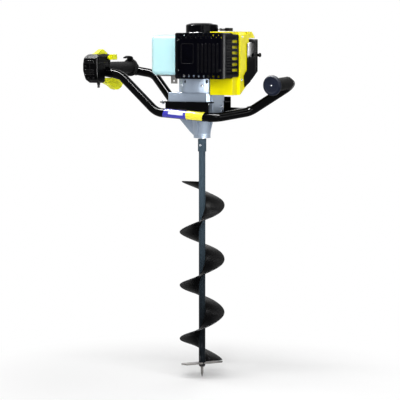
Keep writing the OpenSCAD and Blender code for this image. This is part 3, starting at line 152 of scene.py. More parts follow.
class Board:
    """The node tree of one material, round one Principled shader."""

    def __init__(self, name: str) -> None:
        """Starts a material with its shader and output.

        Args:
            name: The material's name.
        """
        self.material = bpy.data.materials.new(name)
        self.material.use_nodes = True
        self.tree = self.material.node_tree
        self.tree.nodes.clear()
        self.shader = self.node("BsdfPrincipled")
        self.output = self.node("OutputMaterial", {"Surface": self.shader.outputs["BSDF"]})

    def node(self, kind: str, inputs: Optional[Inputs] = None, **settings: Any) -> bpy.types.Node:
        """Makes a shader node, sets it up, then fills its sockets.

        Args:
            kind: The node's type, without the words that all types start with.
            inputs: A value or a link for each named or numbered socket.
            settings: Its properties.

        Returns:
            The node.
        """
        made = self.tree.nodes.new("ShaderNode" + kind)
        for name, value in settings.items():
            setattr(made, name, value)
        for key, value in (inputs or {}).items():
            self.feed(made.inputs[key], value)
        return made

    def feed(self, socket: bpy.types.NodeSocket, value: Feed) -> None:
        """Links a signal or an output to a socket, or sets the socket's own value.

        Args:
            socket: The input to fill.
            value: What fills it.
        """
        if isinstance(value, Signal):
            self.tree.links.new(value.socket, socket)
        elif isinstance(value, bpy.types.NodeSocket):
            self.tree.links.new(value, socket)
        else:
            socket.default_value = value

    def surface(self, **inputs: Feed) -> None:
        """Fills the shader's sockets; an underscore in a name stands for a space."""
        for name, value in inputs.items():
            self.feed(self.shader.inputs[name.replace("_", " ")], value)

    def math(self, operation: str, first: Operand, second: Operand) -> Signal:
        """One Math node on two numbers or signals."""
        return Signal(self, self.node("Math", {0: first, 1: second}, operation=operation).outputs[0])

    def place(self, scale: Point = (1, 1, 1), turn: Point = (0, 0, 0)) -> bpy.types.NodeSocket:
        """Object coordinates, stretched and turned.

        Args:
            scale: Factor along each axis.
            turn: Radians about each axis.

        Returns:
            The vector socket.
        """
        source = self.node("TexCoord").outputs["Object"]
        if scale == (1, 1, 1) and turn == (0, 0, 0):
            return source
        return self.node("Mapping", {"Vector": source, "Scale": scale, "Rotation": turn}).outputs["Vector"]

    def split(self, vector: bpy.types.NodeSocket) -> List[Signal]:
        """The three parts of a vector."""
        return [Signal(self, socket) for socket in self.node("SeparateXYZ", {"Vector": vector}).outputs]

    def noise(self, scale: float, detail: float, vector: Optional[bpy.types.NodeSocket] = None) -> Signal:
        """Soft noise from 0 to 1.

        Args:
            scale: Features in a metre.
            detail: Octaves.
            vector: Coordinates, or None for plain Object coordinates.

        Returns:
            The noise.
        """
        inputs = {"Vector": vector or self.place(), "Scale": scale, "Detail": detail}
        return Signal(self, self.node("TexNoise", inputs).outputs[0])

    def cells(self, scale: float) -> Signal:
        """Distance to the nearest of many scattered points, from 0 at a point to about 1."""
        made = self.node("TexVoronoi", {"Vector": self.place(), "Scale": scale})
        return Signal(self, made.outputs["Distance"])

    def mix(self, factor: Operand, first: Feed, second: Feed) -> bpy.types.NodeSocket:
        """A colour between two colours."""
        return self.node("Mix", {0: factor, 6: first, 7: second}, data_type="RGBA").outputs[2]

    def softened(self, radius: float) -> bpy.types.NodeSocket:
        """The normal with edges rounded to a radius."""
        return self.node("Bevel", {"Radius": radius}, samples=BEVEL_SAMPLES).outputs["Normal"]

    def edges(self, width: float) -> Signal:
        """Mask of what lies near an edge: there the softened normal leaves the true one.

        Args:
            width: Radius to which the normal is softened, in metres.

        Returns:
            The mask, from 0 to 1.
        """
        true = self.node("NewGeometry").outputs["Normal"]
        same = self.node("VectorMath", {0: true, 1: self.softened(width)}, operation="DOT_PRODUCT")
        return Signal(self, same.outputs["Value"]).fade(*EDGE_FADE)

    def bump(self, height: Signal, depth: float, edge: float) -> bpy.types.NodeSocket:
        """A normal from a height map over softened edges.

        Args:
            height: From 0 to 1.
            depth: The height of 1, in metres.
            edge: Radius of the softened edges, in metres; 0 leaves them as they are.

        Returns:
            The normal socket.
        """
        inputs: Inputs = {"Height": height, "Distance": depth, "Strength": 1.0}
        if edge > 0:
            inputs["Normal"] = self.softened(edge)
        return self.node("Bump", inputs).outputs["Normal"]

    def seen(self) -> Signal:
        """1 on rays that end in the picture, straight, mirrored or seen through; 0 on other light."""
        rays = self.node("LightPath").outputs
        return sum(Signal(self, rays[kind]) for kind in SEEN_RAYS).fade(0.0, 1.0)


class Sky(Board):
    """The node tree of the world."""

    def __init__(self, world: bpy.types.World) -> None:
        """Starts with an empty tree.

        Args:
            world: The world whose tree it is.
        """
        world.use_nodes = True
        self.tree = world.node_tree
        self.tree.nodes.clear()


@dataclass(frozen=True)
class Pattern:
    """Soft noise that is cut to a mask.

    Attributes:
        scale: Features in a metre.
        detail: Octaves.
        low: Noise at which the mask starts.
        high: Noise at which it is full.
        stretch: Factor on the coordinates along each axis.
        turn: Rotation of the coordinates, in radians.
    """

    scale: float
    detail: float
    low: float
    high: float
    stretch: Point = (1, 1, 1)
    turn: Point = (0, 0, 0)

    def mask(self, board: Board) -> Signal:
        """The mask, from 0 to 1."""
        place = board.place(self.stretch, self.turn)
        return board.noise(self.scale, self.detail, place).fade(self.low, self.high)


CLOUDS = Pattern(34.0, 4.0, 0.3, 0.7)
FAINT_CLOUDS = Pattern(34.0, 4.0, 0.1, 1.1)
MILK_CLOUDS = Pattern(14.0, 3.0, 0.3, 0.75)
STREAKS = Pattern(95.0, 4.0, 0.66, 0.78, (0.6, 7.0, 7.0), (0.1, 0.25, 0.3))
STREAKED_AREAS = Pattern(18.0, 2.0, 0.45, 0.7)
SPECKS = Pattern(700.0, 2.0, 0.3, 0.7)
STAINS = Pattern(26.0, 6.0, 0.52, 0.74)
CHIPS = Pattern(90.0, 5.0, 0.42, 0.6)
SCRAPES = Pattern(120.0, 5.0, 0.56, 0.68, (1.0, 1.0, 0.25))
PATCHY_GLOSS = (21.0, 3.0)  # features in a metre and octaves, as in the next five
FINE_GLOSS = (240.0, 2.0)
PAINT_GLOSS = (30.0, 3.0)
PIT_DEPTHS = (40.0, 2.0)
MOULD_WAVES = (110.0, 3.0)
FADED_PRINT = (60.0, 3.0)


@dataclass(frozen=True)
class Finish:
    """A plain moulded or painted finish: soft mottling in the colour, uneven gloss and a fine grain.

    Attributes:
        name: The material's name.
        slot: The record's material slot; not used.
        colour: Linear colour.
        rough: Middle roughness.
        uneven: How far the roughness swings either way.
        metallic: 0 for paint and plastic, 1 for bare metal.
        coat: Weight of a clear coat.
        mottle: How far the colour swings either way, as a share.
        grain: Grains in a metre.
        depth: Depth of the grain, in metres.
        edge: Radius of the softened edges, in metres.
        sheen: Strength of the mirror-like reflection, 0.5 for common glass.
        polish: Weight of the gloss that rubbing gives the edges.
    """

    name: str
    slot: str
    colour: Rgb
    rough: float = 0.4
    uneven: float = 0.08
    metallic: float = 0.0
    coat: float = 0.0
    mottle: float = 0.08
    grain: float = 900.0
    depth: float = 4e-5
    edge: float = 8e-4
    sheen: float = 0.3
    polish: float = 0.0

    def material(self) -> bpy.types.Material:
        """Makes the finish's material on first use.

        Returns:
            The material.
        """
        name = f"{self.name}_finish"
        found = bpy.data.materials.get(name)
        if found is not None:
            return found
        board = Board(name)
        board.surface(Metallic=self.metallic, Coat_Weight=self.coat, Specular_IOR_Level=self.sheen,
                      Base_Color=self.tint(board), Roughness=self.gloss(board),
                      Normal=board.bump(self.relief(board), self.depth, self.edge))
        if self.polish > 0:
            board.surface(Coat_Weight=board.edges(self.edge) * self.polish)
        self.extras(board)
        return board.material

    def swing(self, board: Board, pattern: Pattern) -> bpy.types.NodeSocket:
        """The base colour, a mottle darker where a pattern is empty and a mottle lighter where it is full."""
        darker, lighter = (shade(self.colour, 1 + swing) for swing in (-self.mottle, self.mottle))
        return board.mix(pattern.mask(board), darker, lighter)

    def tint(self, board: Board) -> Feed:
        """Colour: two close tones of the base mixed by broad noise."""
        return self.swing(board, CLOUDS)

    def gloss(self, board: Board) -> Feed:
        """Roughness: the middle value, swung by noise of two sizes."""
        both = board.noise(*PATCHY_GLOSS) + board.noise(*FINE_GLOSS)
        return (both - 1.0) * (2 * self.uneven) + self.rough

    def relief(self, board: Board) -> Signal:
        """Height: an even fine grain."""
        return board.noise(self.grain, 2.0)

    def extras(self, board: Board) -> None:
        """Sockets that only some finishes set."""


@dataclass(frozen=True)
class SparkPlastic(Finish):
    """Black moulding from a spark-eroded tool: shallow round pits."""

    def relief(self, board: Board) -> Signal:
        """Height: scattered cells, uneven in depth."""
        return board.cells(self.grain).fade(0.1, 0.75) * (board.noise(*PIT_DEPTHS) * 0.6 + 0.5)


@dataclass(frozen=True)
class Lacquer(Finish):
    """Glossy paint on tube or sheet: a slow orange peel and a few fine scuffs along one axis.

    Attributes:
        scuff: Roughness that the scuffs add.
    """

    scuff: float = 0.25

    def gloss(self, board: Board) -> Feed:
        """Roughness: even gloss, duller in thin streaks drawn out along X."""
        scratches = STREAKS.mask(board) * STREAKED_AREAS.mask(board)
        return scratches * self.scuff + board.noise(*PAINT_GLOSS) * self.uneven + self.rough

    def relief(self, board: Board) -> Signal:
        """Height: orange peel of two sizes."""
        return board.noise(self.grain, 1.0) * 0.7 + board.noise(self.grain * 3, 1.0) * 0.3


@dataclass(frozen=True)
class CastMetal(Finish):
    """Die-cast alloy: a blasted grain, faint flow marks and darker stains in patches.

    Attributes:
        stain: Share by which the stains take over.
        stained: Brightness of a stain.
    """

    stain: float = 0.3
    stained: float = 0.35

    def tint(self, board: Board) -> Feed:
        """Colour: base alloy, speckled by the blasting and darkened in patches."""
        dark = shade(self.colour, self.stained)
        return board.mix(STAINS.mask(board) * self.stain, self.swing(board, SPECKS), dark)

    def relief(self, board: Board) -> Signal:
        """Height: blasting dimples over slow waves left by the mould."""
        return board.cells(self.grain).fade(0.0, 0.8) * 0.55 + board.noise(*MOULD_WAVES) * 0.45


@dataclass(frozen=True)
class TurnedMetal(Finish):
    """Bare steel with tool marks: fine rings about Z."""

    def relief(self, board: Board) -> Signal:
        """Height: noise drawn out across Z, so that mostly the place along Z changes it."""
        return board.noise(self.grain, 3.0, board.place((0.08, 0.08, 1.0)))


@dataclass(frozen=True)
class BitPaint(Lacquer):
    """Paint on the bit, worn to steel along the outer rim and scraped near the point.

    Attributes:
        bare: Colour of the worn steel.
        rim: Radius where the wear starts and where it is full, in metres.
        low: Heights between which the paint is scraped, in metres.
        tip: Colour near the point, where the colour is partly painted shade.
        painted_shade_heights: Heights between which the colour changes from the tip colour, partly painted
            shade, to the main one.
    """

    bare: Rgb = (0.09, 0.09, 0.095)
    rim: Pair = (0.0725, 0.0752)
    low: Pair = (0.16, 0.03)
    tip: Rgb = (0.02, 0.02, 0.021)
    painted_shade_heights: Pair = (0.1, 0.8)

    def tint(self, board: Board) -> Feed:
        """Colour: darker towards the point, partly painted shade, with steel in patches at the rim and in low
        scrapes.

        Args:
            board: The material's nodes.

        Returns:
            The colour socket.
        """
        x, y, z = board.split(board.place())
        # painted shade, in part: the colour runs from the dark tip colour near the point to the main colour
        # higher up
        shaded_tone = board.mix(z.fade(*self.painted_shade_heights), shade(self.tip), shade(self.colour))
        painted = board.mix(FAINT_CLOUDS.mask(board) * self.mottle, shaded_tone, shade(self.colour, 1.6))
        chipped = ((x * x + y * y) ** 0.5).fade(*self.rim) * CHIPS.mask(board) * 0.8
        scraped = z.fade(*self.low) * SCRAPES.mask(board) * 0.6
        return board.mix(chipped + scraped, painted, shade(self.bare))


@dataclass(frozen=True)
class TankResin(Finish):
    """Milky blow-moulded plastic: light goes a little way in, and the wall is uneven.

    Attributes:
        depth_of_light: How far light goes in, in metres.
        under: Colour of the clouds, where the wall is thinner.
        clouded: Share of that colour in the clouds.
    """

    depth_of_light: float = 0.012
    under: Rgb = (0.5, 0.8, 0.85)
    clouded: float = 0.35

    def tint(self, board: Board) -> Feed:
        """Colour: pale wall with slow clouds."""
        return board.mix(MILK_CLOUDS.mask(board) * self.clouded, shade(self.colour), shade(self.under))

    def extras(self, board: Board) -> None:
        """Light that goes in and scatters, the same all over."""
        board.surface(Subsurface_Weight=0.35, Subsurface_Scale=self.depth_of_light,
                      Subsurface_Radius=(1.0, 1.2, 1.3))


@dataclass(frozen=True)
class Foam(Finish):
    """Open foam: deep cells, with painted shade inside them."""

    def tint(self, board: Board) -> Feed:
        """Colour: painted shade in the cells."""
        # painted shade: the colour drops to 0.4 of itself inside the cells
        return board.mix(board.cells(self.grain).fade(0.45, 0.1), shade(self.colour), shade(self.colour, 0.4))

    def relief(self, board: Board) -> Signal:
        """Height: the walls between the cells."""
        return board.cells(self.grain).fade(0.0, 0.6)


@dataclass(frozen=True)
class Braid(Finish):
    """Laid cord: strands that wind along it."""

    def relief(self, board: Board) -> Signal:
        """Height: a slanted wave along the cord.

        Args:
            board: The material's nodes.

        Returns:
            The height, from 0 to 1.
        """
        wave = board.node("TexWave", {"Vector": board.place(), "Scale": self.grain, "Distortion": 0.6},
                          wave_type="BANDS", bands_direction="DIAGONAL")
        return Signal(board, next(socket for socket in wave.outputs if socket.type == "VALUE"))


@dataclass(frozen=True)
class Sticker(Finish):
    """Printed film in two colours with a slanted join and one plain pale bar on the first.

    Attributes:
        second: Colour after the join.
        bar: Colour of the bar.
        lean: Slant of the join and the bar's ends.
        join: Where the join starts and ends along the length.
        bar_u: Where the bar fades in and out along the length.
        bar_v: Where it fades in and out across the film.
    """

    second: Rgb = (1.0, 0.9, 0.03)
    bar: Rgb = (0.85, 0.87, 0.95)
    lean: float = 0.06
    join: Pair = (0.6, 0.604)
    bar_u: Tuple[Pair, Pair] = ((0.16, 0.165), (0.54, 0.535))
    bar_v: Tuple[Pair, Pair] = ((0.36, 0.38), (0.64, 0.62))

    def tint(self, board: Board) -> Feed:
        """Colour: along the length, the first field with its bar, then the second field.

        Args:
            board: The material's nodes.

        Returns:
            The colour socket.
        """
        u, v, _ = board.split(board.node("TexCoord").outputs["UV"])
        along = u + v * self.lean
        long_way, cross_way = (side.fade(*rise) * side.fade(*fall)
                               for side, (rise, fall) in ((along, self.bar_u), (v, self.bar_v)))
        bar = long_way * cross_way
        first = board.mix(bar, shade(self.colour), shade(self.bar))
        second = board.mix(board.noise(*FADED_PRINT) * 0.25, shade(self.second), shade(self.second, 0.7))
        return board.mix(along.fade(*self.join), first, second)


class Look(Enum):
    """Every finish on the machine, each named for what wears it."""

    TUBE_PAINT = Lacquer("tube_paint", "black_paint", screen(3, 3, 4), rough=0.03, uneven=0.02, sheen=0.04,
                         grain=260.0, depth=8e-6, scuff=0.1)
    PLATE_PAINT = Lacquer("plate_paint", "black_paint", screen(4, 4, 6), rough=0.22, sheen=0.03, grain=420.0)
    COVER_PLASTIC = SparkPlastic("cover_plastic", "black_plastic", screen(5, 5, 10), rough=0.16, uneven=0.05,
                                 sheen=0.003, polish=0.35, grain=500.0, depth=1.2e-5, edge=3e-3, mottle=0.15)
    CONTROL_CASE = SparkPlastic("control_case_plastic", "black_plastic", screen(4, 4, 5), rough=0.34,
                                sheen=0.02, polish=0.4, grain=600.0, depth=2e-5, edge=1.5e-3, mottle=0.15)
    FILTER_GLOSS = Lacquer("filter_cover_gloss", "black_gloss", screen(3, 3, 6), rough=0.04, uneven=0.01,
                           sheen=0.008, polish=0.5, grain=120.0, depth=3e-6, edge=2e-3)
    STARTER_GLOSS = Lacquer("starter_gloss", "black_gloss", screen(4, 4, 7), rough=0.12, uneven=0.05,
                            sheen=0.02, polish=0.5, grain=160.0, depth=8e-6, edge=1.5e-3)
    COWL = Lacquer("cowl_yellow", "yellow_cowl", screen(250, 238, 0), rough=0.28, mottle=0.03, sheen=0.1,
                   grain=180.0, depth=2e-5, edge=2e-3)
    CONTROL = Lacquer("control_yellow", "yellow_control", screen(232, 232, 8), rough=0.34, sheen=0.12,
                      mottle=0.04, grain=240.0, depth=2e-5, edge=1.5e-3)
    ALLOY_CAST = CastMetal("cast_alloy", "cast_alloy", screen(144, 156, 172), rough=0.36, uneven=0.05,
                           metallic=0.6, depth=1.2e-5, edge=1.5e-3, stain=0.12)
    BRIGHT = TurnedMetal("bright_steel", "bright_steel", screen(190, 194, 200), rough=0.22, uneven=0.06,
                         metallic=1.0, grain=2500.0, depth=1e-5, edge=4e-4)
    TOOL = TurnedMetal("tool_steel", "tool_steel", screen(120, 118, 116), rough=0.38, uneven=0.12,
                       metallic=0.9, grain=1800.0, depth=3e-5, edge=5e-4, mottle=0.25)
    # tip and painted_shade_heights: partly painted shade, darker towards the point
    TUBE_SLATE = BitPaint("bit_tube_paint", "slate_steel", screen(70, 86, 98), rough=0.3, uneven=0.1,
                          sheen=0.03, grain=300.0, depth=5e-5, edge=5e-4, mottle=0.12, rim=(0.08, 0.09),
                          tip=screen(6, 6, 7), painted_shade_heights=(0.12, 0.78))
    # tip: partly painted shade, darker towards the point
    FLIGHT = BitPaint("flight_paint", "black_flight", screen(9, 9, 10), uneven=0.12, sheen=0.03,
                      grain=260.0, depth=2e-5, edge=0.0, mottle=0.3, tip=screen(7, 7, 8))
    RUBBER = SparkPlastic("grip_rubber", "rubber_grip", screen(16, 16, 17), rough=0.62, uneven=0.1,
                          sheen=0.05, grain=2200.0, depth=1.2e-4, edge=4e-4, mottle=0.2)
    END_CAP = SparkPlastic("grip_end_rubber", "rubber_grip", screen(20, 26, 42), rough=0.5, sheen=0.06,
                           grain=2000.0, depth=6e-5, edge=6e-4, mottle=0.12)
    SEAL = Finish("seal_rubber", "rubber_seal", screen(16, 16, 17), rough=0.6)
    MUFFLER = CastMetal("muffler_steel", "muffler_steel", screen(120, 112, 104), rough=0.45, uneven=0.15,
                        metallic=0.8, mottle=0.25, grain=500.0, stain=0.5)
    CERAMIC = Finish("plug_ceramic", "plug_ceramic", screen(235, 232, 226), rough=0.18, coat=0.4)
    FOAM = Foam("filter_foam", "filter_foam", screen(200, 180, 130), rough=0.9, grain=420.0, depth=6e-4)
    WHITE = Finish("white_plastic", "white_plastic", screen(228, 228, 224), rough=0.38)
    ROPE = Braid("rope_fibre", "rope_fibre", screen(222, 220, 212), rough=0.8, grain=130.0, depth=4e-4)
    TANK = TankResin("tank_resin", "tank_plastic", screen(198, 241, 247), rough=0.32, uneven=0.06,
                     sheen=0.06, grain=90.0, depth=5e-5, edge=0.0)
    LABEL = Sticker("tube_label", "black_paint", screen(46, 44, 176), rough=0.22, uneven=0.05, coat=0.4,
                    grain=300.0, depth=2e-5, edge=0.0)


NODE_LOOKS: Dict[Look, Tuple[str, ...]] = {
    Look.TUBE_SLATE: ("auger_tube",),
    Look.FLIGHT: ("auger_flight",),
    Look.TOOL: ("auger_pilot", "cutter_blades", "tank_bracket"),
    Look.BRIGHT: ("coupling_pin", "output_shaft", "output_gear", "layshaft", "layshaft_gear", "input_shaft",
                  "shaft_bearings", "gearbox_bolts", "trigger_pin", "clutch_spring", "crankshaft",
                  "starter_spring", "flywheel", "piston", "clutch_drum", "clutch_shoes"),
    Look.SEAL: ("output_seal", "plug_boot"),
    Look.ALLOY_CAST: ("gearbox_housing", "gearbox_cover", "clutch_housing", "lower_crankcase",
                      "upper_crankcase", "engine_cylinder", "carburettor"),
    Look.PLATE_PAINT: ("mounting_plate", "ignition_coil"),
    Look.TUBE_PAINT: ("handle_bar", "front_frame_tube", "rear_frame_tube", "right_handle_tube"),
    Look.RUBBER: ("left_grip", "right_grip"),
    Look.CONTROL_CASE: ("throttle_case_left", "throttle_case_right", "cable_adjuster", "choke_lever",
                        "starter_handle", "fuel_cap"),
    Look.CONTROL: ("throttle_trigger", "lockout_lever", "stop_switch", "throttle_arm"),
    Look.COVER_PLASTIC: ("muffler_cover",),
    Look.FILTER_GLOSS: ("air_filter_cover", "air_filter_case"),
    Look.STARTER_GLOSS: ("starter_housing",),
    Look.COWL: ("engine_cowl",),
    Look.MUFFLER: ("muffler",),
    Look.CERAMIC: ("spark_plug",),
    Look.FOAM: ("air_filter_element",),
    Look.WHITE: ("starter_reel",),
    Look.ROPE: ("starter_rope",),
    Look.TANK: ("fuel_tank",),
}


def dress_nodes() -> None:
    """Gives each solid of the frame its finish."""
    for look, names in NODE_LOOKS.items():
        for name in names:
            slots = frame["nodes"][name].data.materials
            slots.clear()
            slots.append(look.value.material())
    dressed = {name for names in NODE_LOOKS.values() for name in names}
    LOG.info("dressed %d solids, left %s", len(dressed), sorted(set(frame["nodes"]) - dressed))


def add_object(name: str, data: bpy.types.ID) -> bpy.types.Object:
    """Makes an object and links it to the scene.

    Args:
        name: The object's name.
        data: Its mesh, light or camera.

    Returns:
        The object.
    """
    made = bpy.data.objects.new(name, data)
    bpy.context.scene.collection.objects.link(made)
    return made


def unit(vector: np.ndarray) -> np.ndarray:
    """Vectors of length one along the last axis."""
    return vector / np.linalg.norm(vector, axis=-1, keepdims=True)


def axes_along(direction: Sequence[float]) -> np.ndarray:
    """Works out two vectors square to a direction.

    Args:
        direction: Any vector but zero.

    Returns:
        Three rows of length one: both square vectors, then the direction.
    """
    ahead = unit(np.array(direction, float))
    upright = abs(ahead[2]) > 0.9
    side = unit(np.cross([1.0, 0.0, 0.0] if upright else [0.0, 0.0, 1.0], ahead))
    return np.stack([side, np.cross(ahead, side), ahead])


def turn_angles(count: int) -> np.ndarray:
    """Angles of count points evenly round a circle."""
    return np.arange(count) * (TURN / count)


class Skin:
    """Collects grids of points into one mesh."""

    def __init__(self) -> None:
        """Starts empty."""
        self.points: List[np.ndarray] = []
        self.faces: List[List[int]] = []
        self.count = 0

    def _add(self, points: np.ndarray) -> np.ndarray:
        """Stores points.

        Args:
            points: Shape (..., 3).

        Returns:
            Their indices, in the same shape.
        """
        index = np.arange(points[..., 0].size).reshape(points.shape[:-1]) + self.count
        self.points.append(points.reshape(-1, 3))
        self.count += index.size
        return index

    def grid(self, points: np.ndarray, wrap_rows: bool = False, wrap_columns: bool = False) -> "Skin":
        """Adds a grid of quads.

        Args:
            points: Shape (rows, columns, 3).
            wrap_rows: Joins the last row to the first.
            wrap_columns: Joins the last column to the first.

        Returns:
            This skin.
        """
        index = self._add(points)
        if wrap_rows:
            index = np.concatenate([index, index[:1]])
        if wrap_columns:
            index = np.concatenate([index, index[:, :1]], axis=1)
        quads = np.stack([index[:-1, :-1], index[1:, :-1], index[1:, 1:], index[:-1, 1:]], axis=-1)
        self.faces += quads.reshape(-1, 4).tolist()
        return self

    def rings(self, points: np.ndarray) -> "Skin":
        """Adds rows of rings and leaves both ends open."""
        return self.grid(points, wrap_columns=True)

    def lid(self, ring: np.ndarray) -> "Skin":
        """Closes a ring of points with a fan to its middle.

        Args:
            ring: Shape (n, 3).

        Returns:
            This skin.
        """
        index = self._add(np.concatenate([ring, ring.mean(axis=0, keepdims=True)]))
        rim = index[:-1]
        fan = np.stack([rim, np.roll(rim, -1), np.full(len(rim), index[-1])], axis=-1)
        self.faces += fan.tolist()
        return self

    def closed(self, points: np.ndarray) -> "Skin":
        """Adds rows of rings and closes the first and the last of them."""
        return self.rings(points).lid(points[0]).lid(points[-1])

    def box(self, *shape: Any) -> "Skin":
        """Adds a rounded box.

        Args:
            shape: The arguments of rounded_box.

        Returns:
            This skin.
        """
        for side in rounded_box(*shape):
            self.grid(side)
        return self

    def bead(self, line: np.ndarray, radius: float, waves: int, swell: float, loop: bool = False) -> "Skin":
        """Adds a weld bead: a thin tube whose radius rises and falls evenly along a line.

        Args:
            line: Shape (n, 3).
            radius: Middle radius.
            waves: Swellings along the line.
            swell: Share by which the radius changes.
            loop: True for a line that returns to its start.

        Returns:
            This skin.
        """
        radii = radius * (1 + swell * np.sin(np.linspace(0, waves * TURN, len(line))))
        points = tube(line, radii, BEAD_SIDES, loop)
        return self.grid(points, wrap_rows=True, wrap_columns=True) if loop else self.closed(points)

    def piece(self, name: str, look: Look, body: Optional[Body], stands_for: Sequence[str] = (),
              crease: float = 32.0, merge: bool = True) -> bpy.types.Object:
        """Makes the object, finishes it and lets it ride on a body.

        Args:
            name: The piece's name.
            look: Its finish.
            body: The body that carries it, or None to leave it unattached.
            stands_for: The solids that it replaces.
            crease: Edges sharper than this, in degrees, stay sharp.
            merge: Joins points that coincide and turns the faces outwards.

        Returns:
            The object.
        """
        mesh = bpy.data.meshes.new(name)
        mesh.from_pydata(np.concatenate(self.points).tolist(), [], self.faces)
        if merge:
            work = bmesh.new()
            work.from_mesh(mesh)
            bmesh.ops.remove_doubles(work, verts=work.verts, dist=1e-6)
            bmesh.ops.dissolve_degenerate(work, edges=work.edges, dist=1e-7)
            bmesh.ops.recalc_face_normals(work, faces=work.faces)
            work.to_mesh(mesh)
            work.free()
        mesh.polygons.foreach_set("use_smooth", np.ones(len(mesh.polygons), bool))
        mesh.set_sharp_from_angle(angle=math.radians(crease))
        mesh.materials.append(look.value.material())
        made = add_object(name, mesh)
        if body is not None:
            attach(made, body.value)
        if stands_for:
            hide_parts(*stands_for)
        LOG.info("%s: %d faces", name, len(mesh.polygons))
        return made


def bent_path(points: Sequence[Point], radii: Sequence[float], steps: int) -> np.ndarray:
    """A line through points whose inner corners are arcs.

    Each arc starts one tangent length, r * tan(angle / 2), before its corner and turns about a centre that
    lies at r from both legs.

    Args:
        points: The corners and the two ends.
        radii: One radius for each inner corner.
        steps: Points on each arc.

    Returns:
        The line's points, shape (n, 3).
    """
    corners = np.array(points, float)
    runs = [corners[:1]]
    for before, corner, after, radius in zip(corners[:-2], corners[1:-1], corners[2:], radii):
        into, out = unit(corner - before), unit(after - corner)
        angle = math.acos(float(np.clip(into @ out, -1, 1)))
        inward = unit(out - into * (into @ out))
        centre = corner - into * radius * math.tan(angle / 2) + inward * radius
        sweep = np.linspace(0, angle, steps)[:, None]
        runs.append(centre + radius * (np.sin(sweep) * into - np.cos(sweep) * inward))
    return np.concatenate(runs + [corners[-1:]])


def tube(path: np.ndarray, radius: Union[float, np.ndarray], sides: int, loop: bool = False) -> np.ndarray:
    """Rings of a round section carried along a path.

    Each ring lies in the plane square to the path there; its first axis is level unless the path is upright.

    Args:
        path: Shape (n, 3).
        radius: One radius, or one for each point of the path.
        sides: Points on a ring.
        loop: True for a path that returns to its start.

    Returns:
        Points of shape (n, sides, 3).
    """
    along = np.roll(path, -1, axis=0) - np.roll(path, 1, axis=0) if loop else np.gradient(path, axis=0)
    ahead = unit(along)
    upright = np.abs(ahead[:, 2:]) > 0.95
    side = unit(np.cross(np.where(upright, np.array([[1.0, 0.0, 0.0]]), np.array([[0.0, 0.0, 1.0]])), ahead))
    lift = np.cross(ahead, side)
    angles = turn_angles(sides)[None, :, None]
    reach = np.broadcast_to(np.asarray(radius, float).reshape(-1, 1, 1), (len(path), 1, 1))
    return path[:, None] + reach * (np.cos(angles) * side[:, None] + np.sin(angles) * lift[:, None])


def revolve(along: np.ndarray, radius: np.ndarray, origin: Sequence[float], direction: Sequence[float],
            sides: int) -> np.ndarray:
    """Rings about an axis: at each place along it, a circle of the radius given there.

    Args:
        along: Places on the axis, shape (n,).
        radius: Radii, shape (n,), or (n, sides) where they change round the axis.
        origin: Where the axis starts.
        direction: Where it points.
        sides: Points on a ring.

    Returns:
        Points of shape (n, sides, 3).
    """
    side, lift, ahead = axes_along(direction)
    angles = turn_angles(sides)[None, :, None]
    place = np.asarray(along, float).reshape(len(along), -1)[..., None]
    reach = np.asarray(radius, float).reshape(len(radius), -1)[..., None]
    return np.array(origin, float) + place * ahead + reach * (np.cos(angles) * side + np.sin(angles) * lift)


def turned(corners: Sequence[Pair], soft: float, origin: Sequence[float], direction: Sequence[float],
           sides: int) -> np.ndarray:
    """Rings of a profile turned about an axis, its inner corners rounded by short parabolas.

    Args:
        corners: Places on the axis and radii there.
        soft: How far from a corner its rounding starts, at most 1 / 2.2 of a leg; 0 leaves corners sharp.
        origin: Where the axis starts.
        direction: Where it points.
        sides: Points on a ring.

    Returns:
        Points of shape (n, sides, 3).
    """
    shape = np.array(corners, float)
    if soft > 0:
        share = np.linspace(0, 1, 5)[:, None]
        runs = [shape[:1]]
        for before, corner, after in zip(shape[:-2], shape[1:-1], shape[2:]):
            reach = min(soft, np.linalg.norm(corner - before) / 2.2, np.linalg.norm(after - corner) / 2.2)
            start, end = corner + unit(before - corner) * reach, corner + unit(after - corner) * reach
            runs.append((1 - share) ** 2 * start + 2 * share * (1 - share) * corner + share ** 2 * end)
        shape = np.concatenate(runs + [shape[-1:]])
    return revolve(shape[:, 0], shape[:, 1], origin, direction, sides)


def rounded_box(low: Sequence[float], high: Sequence[float], radius: float, steps: int,
                flats: int = 2, bulge: float = 0.0) -> List[np.ndarray]:
    """Six grids of a box with every edge and corner rounded to one radius.

    Along each axis of a face a point is a core place plus a lean from -45 to 45 degrees: the core moves over
    the flat and the lean over the edges. The point is the core plus the radius times the leaning normal.

    Args:
        low: Lowest corner.
        high: Highest corner.
        radius: Radius of edges and corners.
        steps: Points on half an edge's arc.
        flats: Points across a flat.
        bulge: How far the middle of each face swells.

    Returns:
        Six grids of shape (n, n, 3).
    """
    low, high = np.array(low, float), np.array(high, float)
    middle, core = (low + high) / 2, (high - low) / 2 - radius
    before, after = np.linspace(-45, 0, steps)[:-1], np.linspace(0, 45, steps)[1:]
    degrees = np.concatenate([before, np.zeros(flats), after])
    lean = np.tan(np.radians(degrees))
    slide = np.concatenate([-np.ones(steps - 1), np.linspace(-1, 1, flats), np.ones(steps - 1)])
    grids = []
    for axis in range(3):
        first, second = (axis + 1) % 3, (axis + 2) % 3
        for sign in (-1, 1):
            normal = np.zeros((len(lean), len(lean), 3))
            normal[..., first], normal[..., second], normal[..., axis] = lean[:, None], lean[None, :], sign
            normal = unit(normal)
            centre = np.zeros_like(normal)
            centre[..., first] = slide[:, None] * core[first]
            centre[..., second] = slide[None, :] * core[second]
            swell = bulge * (1 - slide[:, None] ** 2) * (1 - slide[None, :] ** 2)
            centre[..., axis] = sign * (core[axis] + swell)
            grids.append(middle + centre + radius * normal)
    return grids


